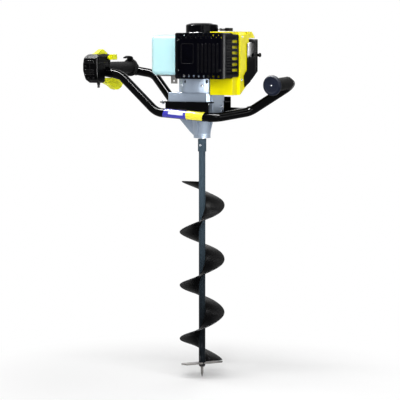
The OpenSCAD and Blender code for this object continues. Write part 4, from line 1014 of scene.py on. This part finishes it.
@dataclass
class HandleFrame:
    """The bent tubes: one run from the cross bar to the right grip, one behind it, and the cross bar.

    Attributes:
        tube_r: Radius of the bent tubes.
        bar_r: Radius of the cross bar.
        bend: Bend radius of the frame.
        grip_bend: Bend radius at the right grip.
        bar: Place (x, z) of the cross bar's axis.
        bar_y: Ends of the cross bar.
        leg_y: Places of the front and the rear leg along the cross bar.
        leg_drop: How far the legs lie below the cross bar.
        leg_start: How far from the cross bar's axis the legs start.
        knee: Place (x, z) where a leg turns down.
        rail_start: Where the rear rail starts; the front one mirrors it.
        front_rail: Where the front rail ends.
        rear_rail: Where the rear rail ends.
        joint: Where the rear tube meets the front one.
        corner: Where the right grip's axis starts.
        grip_dir: Direction of the right grip.
        grip_reach: How far the front run goes along that axis.
        nip: How far before the joint the rear tube starts to narrow.
        nipped: Its radius at the joint, as a share of the tube's.
        sunk: How far its end goes into the front run.
        bead: Radii of the beads at the legs and at the joint.
        bead_points: Points on a bead; three of them make a wave.
        bead_swell: Share by which a bead's radius changes.
        label_x: Ends of the film on the front rail.
        label_lean: Slant of its ends.
        label_turn: Its middle and its width round the tube, in degrees.
        film: Thickness of the film.
        arc_steps: Points on a bend.
        sides: Points round a tube.
    """

    tube_r: float = 15 * MM
    bar_r: float = 12.5 * MM
    bend: float = 58 * MM
    grip_bend: float = 33 * MM
    bar: Pair = (-330 * MM, 1032 * MM)
    bar_y: Pair = (-152 * MM, 134 * MM)
    leg_y: Pair = (-104 * MM, 118 * MM)
    leg_drop: float = 11 * MM
    leg_start: float = 25 / 3 * MM
    knee: Pair = (-250 * MM, 1010 * MM)
    rail_start: Point = (-128 * MM, 80 * MM, 888 * MM)
    front_rail: Point = (95 * MM, -90 * MM, 874 * MM)
    rear_rail: Point = (95 * MM, 80 * MM, 888 * MM)
    joint: Point = (178 * MM, -2 * MM, 893 * MM)
    corner: Point = (322 * MM, 45 * MM, 991 * MM)
    grip_dir: Point = (-14.0, -150.0, -9.0)
    grip_reach: float = 145 * MM
    nip: float = 42 * MM
    nipped: float = 0.9
    sunk: float = 2 * MM
    bead: Pair = (2.1 * MM, 2.6 * MM)
    bead_points: int = 72
    bead_swell: float = 0.2
    label_x: Pair = (-100 * MM, 50 * MM)
    label_lean: float = 10 * MM
    label_turn: Pair = (12.0, 136.0)
    film: float = 0.25 * MM
    arc_steps: int = 16
    sides: int = 40

    def leg(self, side: int) -> List[Point]:
        """Corners from the cross bar to the rail's end.

        Args:
            side: -1 in front and 1 behind.

        Returns:
            Four points: the start, the knee and both ends of the rail.
        """
        x, y, z = self.rail_start
        leg_y = self.leg_y[0 if side < 0 else 1]
        return [(self.bar[0] + self.leg_start, leg_y, self.bar[1] - self.leg_drop),
                (self.knee[0], leg_y, self.knee[1]), (x, side * y, z),
                self.front_rail if side < 0 else self.rear_rail]

    def rail(self, x: np.ndarray, side: int) -> np.ndarray:
        """Points of a rail's straight axis at places along X.

        Args:
            x: The places, of any shape.
            side: -1 in front and 1 behind.

        Returns:
            Points of shape (..., 3).
        """
        start, end = np.array(self.leg(side)[-2:])
        return start + ((x - start[0]) / (end - start)[0])[..., None] * (end - start)

    def grip_axis(self) -> np.ndarray:
        """Direction of the right grip, of length one."""
        return unit(np.array(self.grip_dir))

    def rear_end(self) -> np.ndarray:
        """Direction in which the rear tube runs into the joint."""
        return unit(np.array(self.joint) - np.array(self.rear_rail))

    def build(self) -> None:
        """Makes the tubes, their plug, their weld beads and the film."""
        inside = np.array(self.corner) + self.grip_axis() * self.grip_reach
        front = bent_path(self.leg(-1) + [self.joint, self.corner, tuple(inside)],
                          [self.bend] * 4 + [self.grip_bend], self.arc_steps)
        last = np.array(self.joint) - self.rear_end() * self.nip
        rear = bent_path(self.leg(1) + [tuple(last)], [self.bend] * 3, self.arc_steps)
        mouth = self.crossing(front, self.sides) + self.sunk * self.rear_end()
        Skin().closed(tube(front, self.tube_r, self.sides)).piece(
            "front_tube_run", Look.TUBE_PAINT, Body.MACHINE, ("front_frame_tube", "right_handle_tube"))
        Skin().closed(np.concatenate([tube(rear, self.tube_r, self.sides), mouth[None]])).piece(
            "rear_tube_run", Look.TUBE_PAINT, Body.MACHINE, ("rear_frame_tube",))
        self.cross_bar()
        self.welds(front)
        self.label()

    def crossing(self, front: np.ndarray, count: int) -> np.ndarray:
        """The saddle line on which the narrowed rear tube meets the front run.

        Lines round the rear tube's end run along it; each one's first place within the tube's radius of the
        front run's axis is kept.

        Args:
            front: Axis of the front run.
            count: Lines round the rear tube.

        Returns:
            Points of shape (count, 3).
        """
        bends_before = 3
        middle = front[1 + bends_before * self.arc_steps + self.arc_steps // 2]
        places = np.linspace(-2 * self.tube_r, self.tube_r, 240)
        narrow = np.full_like(places, self.nipped * self.tube_r)
        lines = revolve(places, narrow, middle, self.rear_end(), count)
        run = np.diff(front, axis=0)
        away = lines[:, :, None] - front[:-1]
        share = np.clip((away * run).sum(axis=-1) / (run ** 2).sum(axis=-1), 0, 1)
        inside = np.linalg.norm(away - share[..., None] * run, axis=-1).min(axis=-1) < self.tube_r
        return lines[inside.argmax(axis=0), np.arange(count)]

    def cross_bar(self) -> None:
        """The cross bar with a domed plug in its rear end: a turned profile along Y."""
        radius, length = self.bar_r, self.bar_y[1] - self.bar_y[0]
        plug = radius + 0.8 * MM
        shape = ((0, 0), (0, radius - 2 * MM), (1 * MM, radius), (length - 4 * MM, radius),
                 (length - 3.5 * MM, radius - 0.5 * MM), (length - 3 * MM, plug), (length, plug),
                 (length + 4 * MM, radius * 0.72), (length + 5.5 * MM, 0))
        rings = turned(shape, 1 * MM, (self.bar[0], self.bar_y[0], self.bar[1]), Y_AXIS, self.sides)
        Skin().rings(rings).piece("cross_bar_tube", Look.TUBE_PAINT, Body.MACHINE, ("handle_bar",))

    def welds(self, front: np.ndarray) -> None:
        """Beads where the legs meet the bar and where the rear tube meets the front run.

        A leg's bead follows the crossing of two cylinders: round the leg's circle (R cos t, R sin t) it
        stands at sqrt(r^2 - (R sin t - drop)^2) from the bar's axis, and no nearer than the leg's start.
        The joint's bead follows the rear tube's saddle line.

        Args:
            front: Axis of the front run.
        """
        clear, proud = 0.2 * MM, 1.2 * MM
        angles = turn_angles(self.bead_points)
        wide = self.tube_r + clear
        lift = wide * np.sin(angles) - self.leg_drop
        reach = np.maximum(np.sqrt(np.maximum(self.bar_r ** 2 - lift ** 2, 0.0)), self.leg_start) + proud
        lines = [np.stack([self.bar[0] + reach, leg_y + wide * np.cos(angles), self.bar[1] + lift], axis=-1)
                 for leg_y in self.leg_y]
        lines.append(self.crossing(front, self.bead_points))
        at_leg, at_joint = self.bead
        skin = Skin()
        for line, radius in zip(lines, (at_leg, at_leg, at_joint)):
            skin.bead(line, radius, self.bead_points // 3, self.bead_swell, loop=True)
        skin.piece("frame_weld_beads", Look.TUBE_PAINT, Body.MACHINE)

    def label(self) -> None:
        """Two-colour film round the front of the level rail, with slanted ends: a patch of a cylinder."""
        u, v = np.meshgrid(np.linspace(0, 1, 60), np.linspace(0, 1, 20), indexing="ij")
        middle, width = np.radians(self.label_turn)
        angle = middle + (v - 0.5) * width
        x = self.label_x[0] + (self.label_x[1] - self.label_x[0]) * u + self.label_lean * v
        outward = np.stack([np.zeros_like(angle), -np.cos(angle), np.sin(angle)], axis=-1)
        points = self.rail(x, -1) + (self.tube_r + self.film) * outward
        made = Skin().grid(points).piece("rail_label", Look.LABEL, Body.MACHINE, merge=False)
        flat = np.stack([u, v], axis=-1).reshape(-1, 2)
        loops = np.zeros(len(made.data.loops), np.int32)
        made.data.loops.foreach_get("vertex_index", loops)
        made.data.uv_layers.new(name="film").data.foreach_set("uv", flat[loops].astype(np.float32).ravel())


@dataclass
class Grips:
    """The two rubber grips.

    Attributes:
        frame: The tubes that they sit on.
        outer: Radius over the pads.
        dip: Depth between the pads.
        end: Length and depth of the rounding at a barrel's ends.
        pad_rise: Steepness of a pad along the axis and round it, and what widens it round the axis.
        right_span: Start and end of the right barrel along its axis, from the tube's corner.
        right_rows: Rows of pads on it.
        flange_r: Radius of the right end flange.
        flange_span: Start and end of that flange.
        left_span: Start and end of the left grip along Y.
        left_rows: Rows of pads on it.
        collar_r: Radius of the left grip's rear collar.
        collar: Thickness of that collar.
        pads: Pads in a row.
        sides: Points round a barrel.
    """

    frame: HandleFrame
    outer: float = 21 * MM
    dip: float = 0.8 * MM
    end: Pair = (3 * MM, 1.5 * MM)
    pad_rise: Point = (2.4, 2.0, 1.3)
    right_span: Pair = (52.5 * MM, 147 * MM)
    right_rows: int = 12
    flange_r: float = 32.5 * MM
    flange_span: Pair = (146 * MM, 159 * MM)
    left_span: Pair = (-75 * MM, 99 * MM)
    left_rows: int = 20
    collar_r: float = 30.5 * MM
    collar: float = 6 * MM
    pads: int = 16
    sides: int = 96

    def barrel(self, length: float, rows: int) -> Tuple[np.ndarray, np.ndarray]:
        """Places and radii of a barrel with rows of raised pads.

        Round the axis the pads follow a flattened cosine, shifted by half a pad in every other row, and along
        it a flattened sine; the radius drops by the dip between them and at both ends.

        Args:
            length: Length of the barrel.
            rows: Rows of pads.

        Returns:
            Places (n,) and radii (n, sides).
        """
        steep_along, steep_round, widen = self.pad_rise
        share = np.linspace(0, 1, rows * 10 + 1)
        odd = np.floor(np.clip(share * rows, 0, rows - 0.001)) % 2
        along = np.clip(np.abs(np.sin(share * rows * math.pi)) * steep_along, 0, 1)[:, None]
        around = np.cos(turn_angles(self.sides)[None] * self.pads + odd[:, None] * math.pi)
        pad = along * np.clip(around * steep_round + widen, 0, 1)
        ends = np.clip(np.minimum(share, 1 - share) * length / self.end[0], 0, 1)[:, None] ** 0.5
        return share * length, self.outer - self.dip * (1 - pad) - self.end[1] * (1 - ends)

    def build(self) -> None:
        """Makes both grips, the right one with its flange and the left one with its collar."""
        axis, corner = self.frame.grip_axis(), np.array(self.frame.corner)
        low, high = self.right_span
        points = revolve(*self.barrel(high - low, self.right_rows), corner + axis * low, axis, self.sides)
        Skin().closed(points).piece(
            "right_grip_barrel", Look.RUBBER, Body.MACHINE, ("right_grip",), crease=60)
        self.flange(axis, corner + axis * self.flange_span[0])
        x, z = self.frame.bar
        low, high = self.left_span
        points = revolve(*self.barrel(high - low - 4 * MM, self.left_rows), (x, low, z), Y_AXIS, self.sides)
        Skin().closed(points).piece(
            "left_grip_barrel", Look.RUBBER, Body.MACHINE, ("left_grip",), crease=60)
        shape = ((0, self.outer - 2 * MM), (0, self.collar_r - 1 * MM), (1 * MM, self.collar_r),
                 (self.collar - 1 * MM, self.collar_r), (self.collar, self.collar_r - 1 * MM),
                 (self.collar, self.outer - 3 * MM))
        ring = turned(shape, 1 * MM, (x, high - self.collar, z), Y_AXIS, 64)
        Skin().closed(ring).piece("left_grip_collar", Look.RUBBER, Body.MACHINE)

    def flange(self, axis: np.ndarray, origin: np.ndarray) -> None:
        """The right grip's end flange, a turned disc with a rounded rim and a dish, and the pin in its hole.

        Args:
            axis: Direction of the grip.
            origin: Middle of the flange's inner face.
        """
        rim, thick = self.flange_r, self.flange_span[1] - self.flange_span[0]
        dish, hole = thick - 0.8 * MM, thick - 3.5 * MM
        shape = ((0, self.outer - 1 * MM), (0, rim - 3 * MM), (2.5 * MM, rim), (thick - 4 * MM, rim),
                 (thick, rim - 4 * MM), (thick, rim - 8 * MM), (dish, rim - 9.5 * MM), (dish, 4.5 * MM),
                 (thick - 0.5 * MM, 3.5 * MM), (hole, 3 * MM), (hole, 0))
        rings = turned(shape, 1.8 * MM, origin, axis, self.sides)
        Skin().rings(rings).lid(rings[0]).piece("right_grip_flange", Look.END_CAP, Body.MACHINE)
        shape = ((0, 2.6 * MM), (2.2 * MM, 2.6 * MM), (3.2 * MM, 1.6 * MM), (3.4 * MM, 0))
        pin = turned(shape, 0.6 * MM, origin + axis * (thick - 4 * MM), axis, 24)
        Skin().rings(pin).lid(pin[0]).piece("right_grip_pin", Look.BRIGHT, Body.MACHINE)


@dataclass
class AugerBit:
    """The helical flight and its welds.

    Attributes:
        inner: Radius where the flight runs into the tube.
        outer: Radius of the flight.
        thick: Thickness of the plate.
        pitch: Rise in a turn.
        start: Height of the lower end.
        turns: Number of turns.
        first: Angle of the lower end, in degrees.
        steps: Sections in a turn.
        wave: Height of the rim's waves.
        wave_rate: Waves in a turn.
        weld_r: Radius on which the beads lie.
        bead: Radius of a bead.
        bead_gap: Distance of a bead's middle from the plate.
        bead_waves: Swellings of a bead in a turn.
        bead_swell: Share by which its radius changes.
    """

    inner: float = 10.6 * MM
    outer: float = 75 * MM
    thick: float = 4 * MM
    pitch: float = 179 * MM
    start: float = 52 * MM
    turns: float = 3.36
    first: float = 53.0
    steps: int = 110
    wave: float = 0.9 * MM
    wave_rate: float = 3.3
    weld_r: float = 11.4 * MM
    bead: float = 1.9 * MM
    bead_gap: float = 0.8 * MM
    bead_waves: int = 40
    bead_swell: float = 0.16

    def build(self) -> None:
        """Makes the plate, a round-nosed section carried up a right-handed helix, and its two beads."""
        share = np.linspace(0, self.turns, int(self.turns * self.steps))
        angle, height = math.radians(self.first) + TURN * share, self.start + self.pitch * share
        soft = self.thick / 2
        nose = np.radians(np.linspace(-90, 90, 9))
        under = np.linspace(self.inner, self.outer - soft, 6)
        radius = np.concatenate([under, self.outer - soft + soft * np.cos(nose), under[::-1]])
        rise = np.concatenate([np.zeros(6), soft + soft * np.sin(nose), np.full(6, self.thick)])
        wave = self.wave * np.sin(angle * self.wave_rate)[:, None] * (radius / self.outer)[None] ** 3
        points = np.stack([radius[None] * np.cos(angle)[:, None], radius[None] * np.sin(angle)[:, None],
                           height[:, None] + rise[None] + wave], axis=-1)
        Skin().closed(points).piece("flight_plate", Look.FLIGHT, Body.AUGER, ("auger_flight",), crease=50)
        skin = Skin()
        x, y = self.weld_r * np.cos(angle), self.weld_r * np.sin(angle)
        for level in (-self.bead_gap, self.thick + self.bead_gap):
            line = np.stack([x, y, height + level], axis=-1)
            skin.bead(line, self.bead, int(self.turns * self.bead_waves), self.bead_swell)
        skin.piece("flight_weld_beads", Look.FLIGHT, Body.AUGER, crease=70)


@dataclass
class FuelTank:
    """The blow-moulded tank with its parting seam and filler neck.

    Attributes:
        low: Lowest corner.
        high: Highest corner.
        corner: Radius of edges and corners.
        swell: How far the middle of a face swells.
        seam: Radius of the seam.
        seam_depth: How far inside the box the seam's middle lies, as a share of the swell.
        neck: Place (x, z) of the filler neck.
        neck_r: Radius of the neck.
        neck_wall: Thickness of its wall.
        neck_long: Length of the neck.
        neck_sunk: How much of it lies in the tank.
    """

    low: Point = (-164 * MM, -60 * MM, 1009 * MM)
    high: Point = (-62 * MM, 60 * MM, 1142 * MM)
    corner: float = 15 * MM
    swell: float = 1.2 * MM
    seam: float = 1.1 * MM
    seam_depth: float = 0.6
    neck: Pair = (-113 * MM, 1110 * MM)
    neck_r: float = 16 * MM
    neck_wall: float = 2.5 * MM
    neck_long: float = 10 * MM
    neck_sunk: float = 3 * MM

    def build(self) -> None:
        """Makes the shell, the seam that stands a little proud round it, and the neck."""
        low, high = np.array(self.low), np.array(self.high)
        Skin().box(low + self.swell, high - self.swell, self.corner, 8, 9, self.swell).piece(
            "tank_shell", Look.TANK, Body.MACHINE, ("fuel_tank",), crease=60)
        x0, _, z0 = low + self.swell * self.seam_depth
        x1, _, z1 = high - self.swell * self.seam_depth
        top = ((x0 + x1) / 2, 0, z1)
        outline = [top, (x1, 0, z1), (x1, 0, z0), (x0, 0, z0), (x0, 0, z1), top]
        line = bent_path(outline, [self.corner] * 4, 10)
        inner = self.neck_r - self.neck_wall
        shape = ((0, self.neck_r), (self.neck_long, self.neck_r), (self.neck_long, inner), (0, inner))
        origin = (self.neck[0], self.high[1] - self.neck_sunk, self.neck[1])
        skin = Skin().grid(tube(line[:-1], self.seam, 8, loop=True), wrap_rows=True, wrap_columns=True)
        skin.rings(turned(shape, 0, origin, Y_AXIS, 48)).piece("tank_seam", Look.TANK, Body.MACHINE)


@dataclass
class StarterRope:
    """The rope from the reel through the eye to the pull handle.

    Attributes:
        place: Its line (y, z).
        inside: Where it starts in the housing.
        eye: Where it leaves the housing.
        end: Where it enters the handle.
        radius: Radius of the rope.
    """

    place: Pair = (30 * MM, 1160 * MM)
    inside: float = 2 * MM
    eye: float = 45 * MM
    end: float = 51 * MM
    radius: float = 1.75 * MM

    def build(self) -> None:
        """Makes the rope as a straight tube with many rings between the eye and the handle."""
        along = np.concatenate([[self.inside], np.linspace(self.eye - 1 * MM, self.end, 48)])
        path = np.stack(np.broadcast_arrays(along, *self.place), axis=-1)
        made = Skin().closed(tube(path, self.radius, 14)).piece(
            "pull_rope", Look.ROPE, None, ("starter_rope",))
        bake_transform(made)


@dataclass(frozen=True)
class Screws:
    """Equal screws that face one way.

    Attributes:
        direction: Their axis, outwards.
        radius: Radius of a head, in millimetres.
        places: Where the heads sit, in millimetres.
    """

    direction: Point
    radius: float
    places: Tuple[Point, ...]


@dataclass
class Fasteners:
    """Screws on the covers and the controls, each a low dome with a cross recess.

    Attributes:
        black: The black screws.
        bright: The steel ones.
        arm: Half width and length of the cross's arms, as shares of the radius.
        blur: Share of the radius over which the cross fades out.
        tall: Height of the dome, depth of the cross and how far the rim is sunk, as shares of the radius.
        sides: Points round a head.
    """

    black: Tuple[Screws, ...] = (
        Screws((0, -1, 0), 3.4, ((-344.5, -172, 1038), (-334, -172, 1000), (-314, -172, 1000))),
        Screws((1, 0, 0), 3.2, ((-301, -158, 1064), (-301, -92, 1052))),
        Screws((0, -1, 0), 4.2, ((-22, -125, 1028), (131, -125, 1028), (-22, -125, 1126))),
        Screws(Y_AXIS, 5.0, ((108.5, 118, 1112), (108.5, 118, 1052))))
    bright: Tuple[Screws, ...] = (
        Screws((1, 0, 0), 4.2, ((151.2, -8, 1136), (151.2, -10, 996))),
        Screws((0.469, -0.883, 0), 4.2, ((35.7, -67.1, 977),)),
        Screws((-0.5, -0.866, 0), 4.2, ((-38, -65.8, 977),)),
        Screws(Y_AXIS, 4.2, ((0, 76, 977),)),
        Screws((-0.866, 0.5, 0), 4.2, ((-65.8, 38, 977),)))
    arm: Pair = (0.2, 0.62)
    blur: float = 0.06
    tall: Point = (0.55, 0.3, 0.2)
    sides: int = 48

    def head(self, direction: Point) -> np.ndarray:
        """Points of a screw head of radius one, from the middle out and down its side.

        Over the middle the height is a dome, h (1 - 0.5 q^2), less a cross: its depth fades out where the
        smaller of |x| and |y| passes the arm's half width, and where the larger one passes the arm's length.

        Args:
            direction: The screw's axis.

        Returns:
            Points of shape (rings, sides, 3).
        """
        side, lift, ahead = axes_along(direction)
        angles = turn_angles(self.sides)[None]
        q = np.concatenate([np.linspace(0.0, 1.0, 12), [1.0]])[:, None]
        x, y = q * np.cos(angles), q * np.sin(angles)
        across = np.clip((self.arm[0] - np.minimum(abs(x), abs(y))) / self.blur, 0, 1)
        along = np.clip((self.arm[1] - np.maximum(abs(x), abs(y))) / self.blur, 0, 1)
        height = self.tall[0] * (1 - 0.5 * q ** 2) - self.tall[1] * across * along
        height[-1] = -self.tall[2]
        return x[..., None] * side + y[..., None] * lift + height[..., None] * ahead

    def build(self) -> None:
        """Makes one piece for each finish."""
        for name, look, groups in (("cover_screws", Look.CONTROL_CASE, self.black),
                                   ("steel_screws", Look.BRIGHT, self.bright)):
            skin = Skin()
            for group in groups:
                for place in group.places:
                    skin.rings((np.array(place) + group.radius * self.head(group.direction)) * MM)
            skin.piece(name, look, Body.MACHINE, crease=40)


@dataclass
class PlateWelds:
    """Beads along the plate's lips, where they stand on the rails.

    Attributes:
        frame: The tubes.
        span: Ends of the lips along X.
        lip_y: Distance of the lips' middles from the bit's axis along Y.
        lip: Half the lip's thickness.
        bead: Radius of a bead.
        bead_waves: Swellings along a bead.
        bead_swell: Share by which its radius changes.
    """

    frame: HandleFrame
    span: Pair = (-92 * MM, 64 * MM)
    lip_y: float = 80 * MM
    lip: float = 2 * MM
    bead: float = 1.9 * MM
    bead_waves: int = 30
    bead_swell: float = 0.18

    def build(self) -> None:
        """Makes four beads: each follows its rail at the height where the lip's face meets the round tube."""
        x = np.linspace(*self.span, 120)
        skin = Skin()
        for side in (-1, 1):
            axis = self.frame.rail(x, side)
            for face in (side * self.lip_y - self.lip, side * self.lip_y + self.lip):
                rise = np.sqrt(self.frame.tube_r ** 2 - (face - axis[:, 1]) ** 2)
                line = np.stack([x, np.full_like(x, face), axis[:, 2] + rise], axis=-1)
                skin.bead(line, self.bead, self.bead_waves, self.bead_swell)
        skin.piece("plate_weld_beads", Look.PLATE_PAINT, Body.MACHINE, crease=70)


@dataclass
class GripHook:
    """The flat hook on top of the left grip's collar, pointing along the grip.

    Attributes:
        frame: The tubes.
        width: Width of the strip.
        thick: Thickness of the strip.
        line: Its middle line as (y, height over the bar's axis).
        bends: Radii of its bends.
        tip: Size of the section at the tip, as a share.
        square: Powers that square the section's ends and its faces.
    """

    frame: HandleFrame
    width: float = 24 * MM
    thick: float = 8 * MM
    line: Tuple[Pair, ...] = ((95 * MM, 20 * MM), (95 * MM, 35 * MM), (76 * MM, 37 * MM), (60 * MM, 33 * MM))
    bends: Pair = (5 * MM, 12 * MM)
    tip: float = 0.6
    square: Pair = (0.35, 0.6)

    def build(self) -> None:
        """Makes the strip: a rounded oblong section carried along the bent line, thinner at its tip."""
        x, z = self.frame.bar
        path = bent_path([(x, y, z + rise) for y, rise in self.line], self.bends, 8)
        angles = turn_angles(28)
        flat, tall = (np.sign(part) * abs(part) ** power
                      for part, power in zip((np.cos(angles), np.sin(angles)), self.square))
        across = np.array([1.0, 0.0, 0.0])
        lift = np.cross(unit(np.gradient(path, axis=0)), across)
        taper = np.linspace(1.0, self.tip, len(path))[:, None, None]
        wide = flat[None, :, None] * across * self.width / 2
        high = tall[None, :, None] * lift[:, None] * self.thick / 2
        Skin().closed(path[:, None] + (wide + high) * taper).piece(
            "left_grip_hook", Look.CONTROL_CASE, Body.MACHINE, crease=45)


@dataclass
class ThrottleTrim:
    """Relief on the throttle case: ribs on its nose and a raised panel on its side.

    Attributes:
        nose: Place along Y of the flat nose.
        ribs: Heights of the ribs on the nose.
        rib_x: Ends of the ribs.
        rib: Half the height of a rib.
        side: Place along X of the flat right side.
        panel: Lowest and highest (y, z) of the panel there.
        proud: How far the ribs stand out.
        panel_share: How far the panel stands out, as a share of that.
        soft: Radii of the ribs' and of the panel's edges.
    """

    nose: float = -172 * MM
    ribs: Tuple[float, ...] = (1013 * MM, 1020 * MM, 1027 * MM, 1050 * MM, 1057 * MM)
    rib_x: Pair = (-349 * MM, -311 * MM)
    rib: float = 1.5 * MM
    side: float = -301 * MM
    panel: Tuple[Pair, Pair] = ((-160 * MM, 1043 * MM), (-106 * MM, 1052 * MM))
    proud: float = 1.6 * MM
    panel_share: float = 0.6
    soft: Pair = (1.2 * MM, 0.8 * MM)

    def build(self) -> None:
        """Makes each rib and the panel as bars with rounded edges, partly sunk in the case."""
        skin = Skin()
        (start, end), depth = self.rib_x, self.proud
        for height in self.ribs:
            low = (start, self.nose - depth, height - self.rib)
            high = (end, self.nose + depth, height + self.rib)
            skin.box(low, high, self.soft[0], 4)
        low, high = self.panel
        skin.box((self.side - depth, *low), (self.side + depth * self.panel_share, *high), self.soft[1], 4)
        skin.piece("throttle_case_trim", Look.CONTROL_CASE, Body.MACHINE, crease=50)


@dataclass(frozen=True)
class Lamp:
    """A rectangular lamp that faces the machine's axis.

    Attributes:
        name: Its name.
        place: Where it stands.
        size: Width and height.
        power: In watts.
        card: True for a pale card that only shows in what mirrors it, and that faces the axis level.
    """

    name: str
    place: Point
    size: Pair
    power: float
    card: bool = False


LAMPS = (
    Lamp("key_box", (1.3, -3.0, 1.9), (0.5, 1.4), 48.0),
    Lamp("left_strip", (-2.4, -1.7, 2.0), (0.16, 1.8), 5.0),
    Lamp("right_strip", (2.1, -2.1, 1.3), (0.16, 1.9), 10.0),
    Lamp("top_strip", (0.2, -0.7, 2.7), (2.4, 0.12), 28.0),
    Lamp("rear_box", (-0.4, 2.6, 1.7), (2.0, 1.2), 18.0),
    Lamp("right_card", (2.65, -1.41, 1.0), (2.6, 0.3), 60.0, card=True),
    Lamp("top_card", (-0.35, -0.6, 2.8), (3.5, 0.6), 2900.0, card=True),
    Lamp("panel_card", (1.11, 1.94, 1.088), (0.02, 0.07), 0.62, card=True))


@dataclass
class Studio:
    """Floor, light and camera.

    Attributes:
        azimuth: The camera's place round the machine, in degrees.
        aim: Height that the camera looks at.
        height: Height of the camera.
        distance: Distance along the ground.
        drift: Shift of the camera and its aim to the right.
        lens: Focal length in millimetres.
        plain: Strength of the world's light.
        lit: Height that the lamps look at.
        floor_half: Half the floor's width.
        floor_white: Distances from the axis between which the floor turns white.
    """

    azimuth: float = 28.0
    aim: float = 0.596
    height: float = 1.13
    distance: float = 5.98
    drift: float = -0.007
    lens: float = 162.6
    plain: float = 0.3
    lit: float = 0.85
    floor_half: float = 30.0
    floor_white: Pair = (0.2, 0.9)

    def build(self) -> None:
        """Makes everything that isn't the machine."""
        self.floor()
        self.world()
        self.lamps()
        self.camera()
        bpy.context.scene.view_settings.view_transform = "Standard"

    def floor(self) -> None:
        """A wide pale floor at the pilot's tip that turns into plain white far away."""
        mesh = bpy.data.meshes.new("studio_floor")
        half = self.floor_half
        corners = [(-half, -half, 0), (half, -half, 0), (half, half, 0), (-half, half, 0)]
        mesh.from_pydata(corners, [], [(0, 1, 2, 3)])
        board = Board("floor_paint")
        x, y, _ = board.split(board.place())
        far = ((x * x + y * y) ** 0.5).fade(*self.floor_white)
        board.surface(Base_Color=(0.86, 0.86, 0.86, 1.0), Roughness=0.8)
        white = board.node("Emission", {"Color": (1, 1, 1, 1), "Strength": 1.0})
        both = board.node("MixShader", {0: far * board.seen(), 1: board.shader.outputs["BSDF"],
                                        2: white.outputs["Emission"]})
        board.feed(board.output.inputs["Surface"], both.outputs["Shader"])
        mesh.materials.append(board.material)
        add_object("studio_floor", mesh)

    def world(self) -> None:
        """White where it is seen, mirrored or seen through; a plain level of light elsewhere."""
        world = bpy.data.worlds.new("studio_world")
        bpy.context.scene.world = world
        board = Sky(world)
        seen = board.seen()
        shine = board.node("Background", {"Color": (1, 1, 1, 1), "Strength": seen + (1 - seen) * self.plain})
        board.node("OutputWorld", {"Surface": shine.outputs["Background"]})

    def lamps(self) -> None:
        """Soft boxes that light the machine, and pale cards that only show in what mirrors them."""
        for lamp in LAMPS:
            light = bpy.data.lights.new(lamp.name, "AREA")
            light.shape = "RECTANGLE"
            light.size, light.size_y = lamp.size
            light.energy = lamp.power
            made = add_object(lamp.name, light)
            made.location = lamp.place
            made.rotation_euler = look_at(lamp.place, (0.0, 0.0, lamp.place[2] if lamp.card else self.lit))
            made.visible_camera = False
            made.visible_diffuse = not lamp.card

    def camera(self) -> None:
        """The camera at the photograph's viewing angle."""
        turn = math.radians(self.azimuth)
        right = np.array([math.cos(turn), math.sin(turn), 0.0]) * self.drift
        back = np.array([math.sin(turn), -math.cos(turn), 0.0]) * self.distance
        place = right + back + np.array([0.0, 0.0, self.height])
        view = bpy.data.cameras.new("front_view")
        view.lens = self.lens
        view.sensor_width = 36.0
        view.clip_end = 100.0
        made = add_object("front_view", view)
        made.location = place
        made.rotation_euler = look_at(place, right + np.array([0.0, 0.0, self.aim]))
        bpy.context.scene.camera = made


def look_at(place: Sequence[float], target: Sequence[float]) -> Tuple[float, float, float]:
    """Euler angles that point an object's -Z axis from a place to a target.

    Args:
        place: Where the object stands.
        target: What it looks at.

    Returns:
        Rotations about X, Y and Z, with the object's Y axis as near to up as it goes.
    """
    ahead = np.array(target, float) - np.array(place, float)
    level = math.hypot(ahead[0], ahead[1])
    return (math.atan2(level, -ahead[2]), 0.0, math.atan2(-ahead[0], ahead[1]))


def main() -> None:
    """Gives the solids their finishes and builds every sub-assembly in order."""
    logging.basicConfig(level=logging.INFO, format="%(name)s: %(message)s")
    dress_nodes()
    handle = HandleFrame()
    for assembly in (handle, Grips(handle), GripHook(handle), PlateWelds(handle), AugerBit(), FuelTank(),
                     StarterRope(), ThrottleTrim(), Fasteners(), Studio()):
        assembly.build()


if __name__ == "__main__":
    main()
